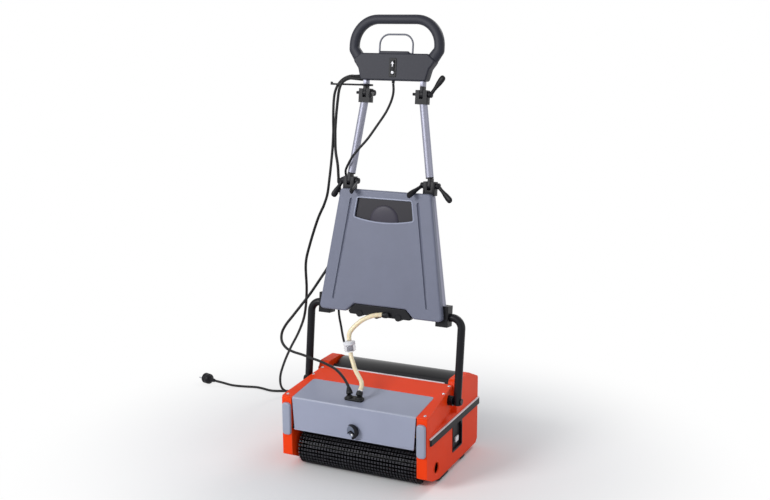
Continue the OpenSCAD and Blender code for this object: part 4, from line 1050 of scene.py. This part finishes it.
# %% Gland
on_cover = slope_top @ move(0, 41.3, 0)
lead_end, hose_end = mm(*lead_route[-1]), mm(*hose_low[-1])
lead_aim = aimed(lead_end, mm(*lead_route[-2]) - lead_end)
hose_aim = aimed(hose_end, mm(*hose_low[-2]) - hose_end)
lead_cone = [(7, -9), (7, 0), (9.6, 0.2), (10.2, 4), (9.6, 8.4), (7.4, 11), (0, 12)]
hose_cone = [(7, -9), (7, 0), (10.6, 0.2), (11, 4), (10.6, 8.6), (8.8, 11), (0, 12)]
sleeve = ribs(5, (7.8, -0.75, 2.2, 2.5), (7.8, -0.75, 3.1, 2.5), (8.7, -0.75, 3.3, 2.5),
              (8.7, -0.75, 4.4, 2.5))
collar = [(0, -4), (9.2, -3), (9.2, 5), (8.4, 6), (8.4, 8), (7.6, 8.8), (0, 8.9)]
bm = bmesh.new()
put(bm, plate(corner_outline(-42, 14, -12, 12, 8), -6, 0.02, 1.6, 3), on_cover @ spin(-90, "X"))
put(bm, turned(lead_cone, 28), on_cover @ move(-29, 0, 0))
put(bm, turned(hose_cone, 28), on_cover @ move(1, 0, 0))
put(bm, turned([(0, -4), (9, -3), (9, 1.6)] + sleeve + [(4.3, 15.6), (0, 15.8)], 28), lead_aim)
put(bm, turned(collar, 28), hose_aim)
piece("cable_gland_boots", bm, "base", "bumper_rubber", "cable_gland")
bm = turned([(6.4, 8.8), (7.9, 8.8), (7.9, 11.2), (6.4, 11.2)], 28)
put(bm, block(-2, 2, 6.8, 10.6, 8.8, 11.2, 0.4, 1))
piece("hose_clamp_ring", bm, "base", "bright_steel", at=hose_aim)
print("gland made")

# %% [markdown]
# ## The handle column
# A black U-shaped frame swings on two pins at the base. It carries two aluminium tubes
# that lean towards each other, and the solution tank hangs between them. Black clamps
# hold the tank's lower corners to the frame.

# %% Frame ends, clamps and pivots
cap = [(0, -12.6), (5, -12.2), (8.4, -11.2), (10.6, -9.4), (11, -7.6), (11.3, -7.2), (11.3, -5.4),
       (10.9, -5)]
boss = [(9.2, 0), (9.2, 1.2), (8.4, 2.1), (6, 2.4), (4.4, 2.4), (4, 1.6), (0, 1.6)]
bm = bmesh.new()
for side in (-1, 1):
    put(bm, turned(cap, 28), handle @ move(side * 234, 0, 0))
    put(bm, turned(boss, 28), move(side * 245.1, PIVOT_Y, PIVOT_UP) @ spin(90 * side, "Y"))
piece("frame_end_caps", bm, "column", "black_plastic")
softened("tube_clamps", "black_plastic", 2.0, 3)
softened("lower_collars", "black_plastic", 1.2)
print("clamps softened")

# %% [markdown]
# ### Solution tank
# The tank is a blown shell behind a thick front shield. The shell takes its shape from
# the solid, cut off where the shield begins. The shield has a wide round rim, which a
# bevel on a clean outline gives best. The window and the two flutes are then carved out
# of it with Boolean modifiers, because their outlines have nothing to do with the rim's.

# %% Carving helpers
def cut_behind(bm, place, normal):
    """Cuts away what lies behind a plane."""
    bmesh.ops.bisect_plane(bm, geom=bm.verts[:] + bm.edges[:] + bm.faces[:], plane_co=place,
                           plane_no=normal, clear_inner=True)


def carved(bm, cutters):
    """The bmesh with closed cutters taken away by Boolean modifiers."""
    held = []
    for part in [bm] + cutters:
        mesh = bpy.data.meshes.new("carving")
        part.to_mesh(mesh)
        part.free()
        held.append(bpy.data.objects.new("carving", mesh))
        scene.collection.objects.link(held[-1])
    for tool in held[1:]:
        cut = held[0].modifiers.new("cut", "BOOLEAN")
        cut.operation, cut.solver, cut.object = "DIFFERENCE", "EXACT", tool
    result = bmesh.new()
    result.from_mesh(held[0].evaluated_get(bpy.context.evaluated_depsgraph_get()).to_mesh())
    for obj in held:
        bpy.data.objects.remove(obj)
    return result


def window_shape(grow):
    """The window's outline with its lower edge bowed and its corners round."""
    half, foot, top, r = 91 + grow, 490 - grow, 545 + grow, 6
    bow = [(half * (k / 4 - 1), foot - 11 * (1 - (k / 4 - 1) ** 2), 0) for k in range(1, 8)]
    corners = [(-83 - grow, top, r), (-half, foot, r)] + bow + [(half, foot, r), (83 + grow, top, r)]
    return rounded_outline(corners, 4)


print("window points", len(window_shape(0)))


# %% Tank shell and shield
def behind_shield(bm):
    cut_behind(bm, handle @ mm(0, -22, 0), handle.to_3x3() @ Vector((0, 1, 0)))


softened("solution_tank", "tank_grey", 3.0, 3, 40, trim=behind_shield)
shield_line = rounded_outline(both_halves((190, 220, 12), (138, 567, 10))
                              + both_halves((-105, 220, 8), (-80, 244, 5)), 8)
cutters = [plate(window_shape(0), -48, -30, 0.01, 1)]
for side in (-1, 1):
    head_end, foot_end = mm(side * 102, -38.6, 538), mm(side * 144, -38.6, 256)
    run = (foot_end - head_end).length * 1000
    flute = turned([(0, -4.6), (3.3, -3.3), (4.6, 0), (4.6, run), (3.3, run + 3.3), (0, run + 4.6)], 24)
    flute.transform(aimed(head_end, foot_end - head_end))
    cutters.append(flute)
bm = carved(plate(shield_line, -39, -21, 6.5, 5, front_only=True), cutters)
shield = piece("tank_shield", bm, "column", "tank_grey", at=handle, turn_out=False)
print("shield faces", len(shield.data.polygons))

# %% Window lip
bm = bmesh.new()
bm.from_mesh(tube([handle @ mm(x, -38.2, s) for x, s in window_shape(0.8)], 0.0044, 3, closed=True))
piece("window_lip", bm, "column", "cover_grey")
print("lip made")

# %% Tank outlet
outlet_line = rounded_outline(both_halves((92, 214, 4), (98, 222, 3), (79.5, 243, 2)), 4)
start_y, start_s = [v * 1000 for v in (handle.inverted() @ mm(*hose_top[0])).yz]
boss = [(0, 0), (8.4, 0), (10, 1.6), (10, 22.4), (8.4, 24), (0, 24)]
bm = plate(outlet_line, -35, -13, 2.0, 3)
for x in (-62, -8, 58):
    put(bm, turned(boss, 28), move(x, -14, 218) @ spin(90, "X"))
nozzle = turned([(0, 0), (8, 0), (8, 10), (7, 11.4), (0, 11.8)], 28)
put(bm, nozzle, move(26, start_y + 5, start_s) @ spin(90, "X"))
collar = turned([(0, 0), (8, 0), (8, 3), (8.8, 3.4), (8.8, 7), (8, 7.4), (8, 11), (6.8, 12), (0, 12.2)], 28)
put(bm, collar, aimed(mm(25, start_y, start_s), (-1, 0, 0)))
piece("tank_outlet_body", bm, "column", "black_plastic", "tank_outlet", at=handle)
print("outlet at", round(start_y, 1), round(start_s, 1))

# %% [markdown]
# ### Tank window and cap
# Behind the smoked window sits the round float housing. It is a shallow turned dome on a
# flat pane, cut off where the window ends. The filler cap at the back has finger ribs
# round its rim and a grip bar across it.

# %% Window pane and dome
bm = plate(window_shape(0.4), -33, -30.2, 0.3, 1)
piece("tank_window_pane", bm, "column", "window_smoke", "tank_window", at=handle)
dome = turned([(43.5, 0), (43, 1.2), (41, 2.3), (36, 3), (26, 3.6), (12, 3.9), (0, 4)], 56)
dome.transform(move(0, -33, 484) @ spin(90, "X"))
cut_behind(dome, mm(0, 0, 480), (0, 0, 1))
piece("window_float_dome", dome, "column", "dome_smoke", at=handle)
print("window made")

# %% Filler cap
bm = turned([(0, -3), (21.8, -3), (21.8, 0.4), (25.6, 0.6), (26, 1.4), (26, 8.6), (24.8, 10.8), (22, 11.8),
             (0, 12)], 48)
for k in range(24):
    put(bm, block(24.6, 26, -1.3, 1.3, 1.6, 8.4, 0.4, 1), spin(15 * k, "Z"))
put(bm, block(-20, 20, -4, 4, 11, 20, 2.4, 3))
piece("filler_cap_ribbed", bm, "cap", "black_plastic", "filler_cap",
      at=handle @ move(0, 42.2, 510) @ spin(-90, "X"))

# %% [markdown]
# ## Clamp levers
# Each joint of the handle is locked by a cam lever: a hub on the bolt and a stout paddle
# that grows towards its round end. The paddle is an ellipse extruded in steps, each step
# a little wider, so the outline swells like the real one. All six levers come from one
# recipe and differ only in where they point.

# %% Lever recipe
TUBE_Y = -8
FOLD_UP, HEAD_UP = 589, 836


def grown_end(bm, top, scale, rise, keep):
    """Extrudes the end faces, scales the new end and lifts it. Returns the new end."""
    grown = bmesh.ops.extrude_face_region(bm, geom=top)
    if not keep:
        bmesh.ops.delete(bm, geom=[f for f in top if f.is_valid], context="FACES_ONLY")
    bmesh.ops.scale(bm, vec=scale, verts=new_verts(grown))
    bmesh.ops.translate(bm, vec=mm(0, 0, rise), verts=new_verts(grown))
    return [g for g in grown["geom"] if isinstance(g, bmesh.types.BMFace)]


def lever(name, x0, way, arm, up_handle):
    """A lever on an axis along X. arm is the vector to the middle of its end, in mm."""
    hub = turned([(0, 0.4), (7.4, 0.4), (8.5, 1.5), (8.5, 9.4), (7.6, 11), (6, 11.4), (5.6, 11), (4.6, 11),
                  (4.2, 11.9), (0, 12.2)], 28)
    reach = mm(*arm)
    long = reach.length * 1000
    # Each step of the paddle is a height and the two half widths of its ellipse.
    steps = [(2, 5, 4.6), (9, 5.4, 4.4), (16, 5, 4), (0.46 * long, 6, 4.4), (0.66 * long, 8, 5.2),
             (0.86 * long, 9, 5.6), (long, 8.6, 5.4), (long + 3.4, 6.8, 4.4), (long + 5.6, 3.6, 2.6)]
    h0, a0, b0 = steps[0]
    paddle = bmesh.new()
    bmesh.ops.create_circle(paddle, cap_ends=True, segments=20, radius=0.001)
    bmesh.ops.scale(paddle, vec=(a0, b0, 1), verts=paddle.verts)
    bmesh.ops.translate(paddle, vec=mm(0, 0, h0), verts=paddle.verts)
    top = paddle.faces[:]
    for h1, a1, b1 in steps[1:]:
        top = grown_end(paddle, top, (a1 / a0, b1 / b0, 1), h1 - h0, keep=h0 == steps[0][0])
        h0, a0, b0 = h1, a1, b1
    bm = bmesh.new()
    put(bm, hub, move(x0, 0, 0) @ spin(90 * way, "Y"))
    put(bm, paddle, aimed(mm(x0 + way * 6.3, 0, 0), reach, "X"))
    piece(name + "_paddle", bm, name, "black_plastic", name,
          at=handle @ move(0, TUBE_Y, up_handle), angle=38)


for name, x0, way, arm, up_handle in [
        ("lever_left_inner", -106, 1, (10, -57, -27), FOLD_UP),
        ("lever_left_outer", -140, -1, (-22, -10, -44), FOLD_UP),
        ("lever_right_inner", 106, -1, (-15, -57, -27), FOLD_UP),
        ("lever_right_outer", 140, 1, (40, -10, -36), FOLD_UP),
        ("head_lever_left", -69, 1, (8, -38, -8), HEAD_UP),
        ("head_lever_right", 103, 1, (36, -6, 46), HEAD_UP)]:
    lever(name, x0, way, arm, up_handle)

# %% [markdown]
# ## Upper handle and head
# The upper tubes fold down at the knuckles. On top sits the head: a flat body with the
# switch, and a grip ring that grows out of it. The ring is a closed row of rounded
# sections, bridged one to the next, because its grip is oval and its outline is neither a
# circle nor a box.

# %% Knuckles, hook and exits
softened("knuckles", "black_plastic", 1.4)
softened("cord_hook", "black_plastic", 1.2)
cord_boot = [(6, 0)] + ribs(6, (5.9, -0.28, 0.6, 4.1), (5.9, -0.28, 2.9, 4.1), (5, -0.2, 3.2, 4.1),
                            (5, -0.2, 4.2, 4.1)) + [(4.2, 27.5), (4, 27.5)]
cable_boot = [(6, 0), (6, 3)] + ribs(3, (5.4, -0.4, 3.4, 2.6), (4.4, -0.2, 3.8, 2.6), (4.4, -0.2, 5.2, 2.6),
                                     (5.2, -0.4, 5.6, 2.6)) + [(3.9, 12.6), (0, 12.6)]
bm = bmesh.new()
for y, s in ((-0.8, 881.4), (-10, 874.2)):
    put(bm, turned(cord_boot, 24), handle @ move(-98, y, s) @ spin(-90, "Y"))
put(bm, turned(cable_boot, 24), handle @ move(-1, -14.8, 876) @ spin(180, "X"))
piece("cord_boots", bm, "head", "bumper_rubber", "cord_exit")
print("boots made")

# %% Head body
body_line = rounded_outline(both_halves((98, 871, 8), (107, 903, 12), (124, 926, 8), (100, 945, 4)))
bm = plate(body_line, -25, 9, 5.0, 4)
piece("head_body", bm, "head", "head_charcoal", "handle_head", at=handle)
saddle_line = rounded_outline(both_halves((-46, 938, 0), (-44, 951, 4)), 5)
bm = plate(saddle_line, -23, -13.6, 2.4, 3)
piece("head_saddle", bm, "head", "head_charcoal", at=handle)
tongues, necks = bmesh.new(), bmesh.new()
for x in (-86, 86):
    put(necks, block(x - 5, x + 5, -19, 3, 857, 874, 1.2))
    put(tongues, block(x - 5, x + 5, -19, 3, HEAD_UP, 858, 1.2))
    tongue = turned([(0, -5), (11, -5), (12, -4), (12, 4), (11, 5), (0, 5)], 32)
    put(tongues, tongue, move(x, TUBE_Y, HEAD_UP) @ spin(90, "Y"))
piece("head_tongues", tongues, "head", "black_plastic", at=handle)
piece("head_necks", necks, "head", "drawn_aluminium", at=handle)
print("head body made")

# %% [markdown]
# ### Grip ring and bail
# The ring follows two outlines, an outer and an inner one, whose corners are rounded
# round the same centres. So their points pair up, and each pair carries one rounded
# section of the grip. The bail inside it is a plated wire that is pulled like a brake
# lever. It turns in a sleeve whose pale grey is a painted highlight along the head's top edge.

# %% Grip ring
GRIP_DEPTH = 13.3
outer_line = rounded_outline(both_halves((124, 922, 4), (142, 950, 20), (142, 1051, 84)), 14)
inner_line = rounded_outline(both_halves((96, 940, 10), (114, 962, 8), (114, 1025, 58)), 14)


def squared(value):
    """A cosine or sine pushed outwards, so that a circle becomes a rounded box."""
    return math.copysign(abs(value) ** 0.8, value)


bm, rings = bmesh.new(), []
for outside, inside in zip(outer_line, inner_line):
    middle, half = (outside + inside) / 2, (outside - inside) / 2
    ring = []
    for k in range(20):
        a = 2 * math.pi * k / 20
        p = middle + half * squared(math.cos(a))
        ring.append(bm.verts.new(mm(p.x, TUBE_Y + GRIP_DEPTH * squared(math.sin(a)), p.y)))
    rings.append([bm.edges.new(pair) for pair in zip(ring, ring[1:] + ring[:1])])
for low, high in zip(rings, rings[1:]):
    bmesh.ops.bridge_loops(bm, edges=low + high)
for end in (rings[0], rings[-1]):
    bmesh.ops.contextual_create(bm, geom=end)
piece("grip_ring", bm, "head", "head_charcoal", at=handle, angle=50)
print("ring stations", len(rings))

# %% Bail
bail_line = rounded_outline(both_halves((-50, 943, 0), (-50, 997, 28)), 12)
wire = tube([handle @ mm(x, TUBE_Y, s) for x, s in bail_line], 0.005, 3)
placed("bail_wire", wire, "plated_wire", "bail", "bail")
# The bail's sleeve, pale grey as a painted highlight along the head's top edge.
bm = turned([(0, -46), (4.4, -46), (5, -45.4), (5, 45.4), (4.4, 46), (0, 46)], 24)
piece("bail_sleeve_highlight", bm, "head", "disc_grey",
      at=handle @ move(0, TUBE_Y, 943) @ spin(90, "Y"))
print("bail points", len(bail_line))

# %% [markdown]
# ### Switch
# The rocker switch has a black cap that is tilted to one side, with a generic pale arrow
# above and a dot below. The marks are thin inlays that stand a hair proud of the cap.

# %% Switch and its marks
bm = plate(corner_outline(-11, 11, 880, 932, 4), -26.4, -24, 0.9, front_only=True)
piece("switch_surround", bm, "head", "black_plastic", at=handle)
cap_at = handle @ move(0, -21, 906) @ spin(4, "X")
bm = block(-6.2, 6.2, -7, 5, -20.8, 20.8, 1.6, 3)
piece("rocker_cap", bm, "switch", "black_plastic", "rocker_switch", at=cap_at)
arrow = [(-1.4, 3), (1.4, 3), (1.4, 10.5), (4.6, 10.5), (0, 18), (-4.6, 10.5), (-1.4, 10.5)]
bm = plate(arrow, -7.25, -6.6, 0.1, 1)
dot = turned([(0, 0), (4.2, 0), (4.2, 0.5), (3.9, 0.65), (0, 0.65)], 24)
put(bm, dot, move(0, -6.6, -13) @ spin(90, "X"))
piece("rocker_marks", bm, "switch", "pale_plastic", at=cap_at)
print("switch made")

# %% [markdown]
# ## Filter and valve
# Between the two stretches of hose sits a small valve with a clear filter bowl. It is a
# turned shape: a ribbed pale cap and a bulging clear bowl with a mesh cylinder inside.
# The control cable ends in a boot at its side.

# %% Filter bowl
top_end, low_end = mm(-73, -63, 356), mm(-67, -66, 324)
filter_at = aimed(low_end, top_end - low_end)
bm = turned([(6.4, 0), (9, 0.4), (13.5, 2), (16.2, 6), (17, 11), (17, 16), (16.2, 20), (15.4, 21),
             (15.4, 22), (0, 22)], 36)
piece("filter_bowl", bm, "column", "clear_bowl", "hose_filter", at=filter_at)
bm = turned([(0, 20.6), (16.2, 20.6), (17, 21.6), (17, 24), (16.2, 24.8), (16.2, 25.6), (17, 26.4),
             (17, 28.6), (15.6, 30.4), (9, 31.8), (8.4, 32.6), (6.6, 32.6)], 36)
piece("filter_cap", bm, "column", "pale_plastic", at=filter_at)
bm = turned([(0, 3), (8.6, 3), (9.2, 4), (9.2, 20), (0, 20)], 24)
piece("filter_strainer", bm, "column", "strainer_grey", at=filter_at)
middle = (top_end + low_end) / 2
cable_way = mm(*control_route[-1]) - middle
run = cable_way.length * 1000
bm = turned([(0, 0), (7, 0), (7, 7), (6.2, 8), (6.2, 12), (5.2, 15), (4.4, run), (3.4, run)], 24)
piece("valve_side_boot", bm, "column", "black_plastic",
      at=aimed(middle, cable_way))
print("filter made")

# %% [markdown]
# ## The solids that stay
# Tubes, shafts, gears and other plainly machined pieces are right as they are. They only
# get a finish. A solid's material is changed in its slots, and its mesh is left alone.

# %% Finishes for the solids
looks = {
    "bright_steel": ["motor_rotor", "counter_gear", "front_brush_pulley", "rear_brush_pulley",
                     "drum_pulley"],
    "drawn_aluminium": ["lower_tubes", "upper_tubes", "motor_casing"],
    "black_powder_coat": ["u_frame", "handle_pivots", "front_brush_core", "rear_brush_core"],
    "bronze_bush": ["shaft_bushes", "spray_bar"],
    "bumper_rubber": ["drive_belts"],
}
for look, names in looks.items():
    for name in names:
        materials = frame["nodes"][name].data.materials
        materials.clear()
        materials.append(finishes[look])
print("solids that only take a finish", sum(map(len, looks.values())))

# %% [markdown]

import json
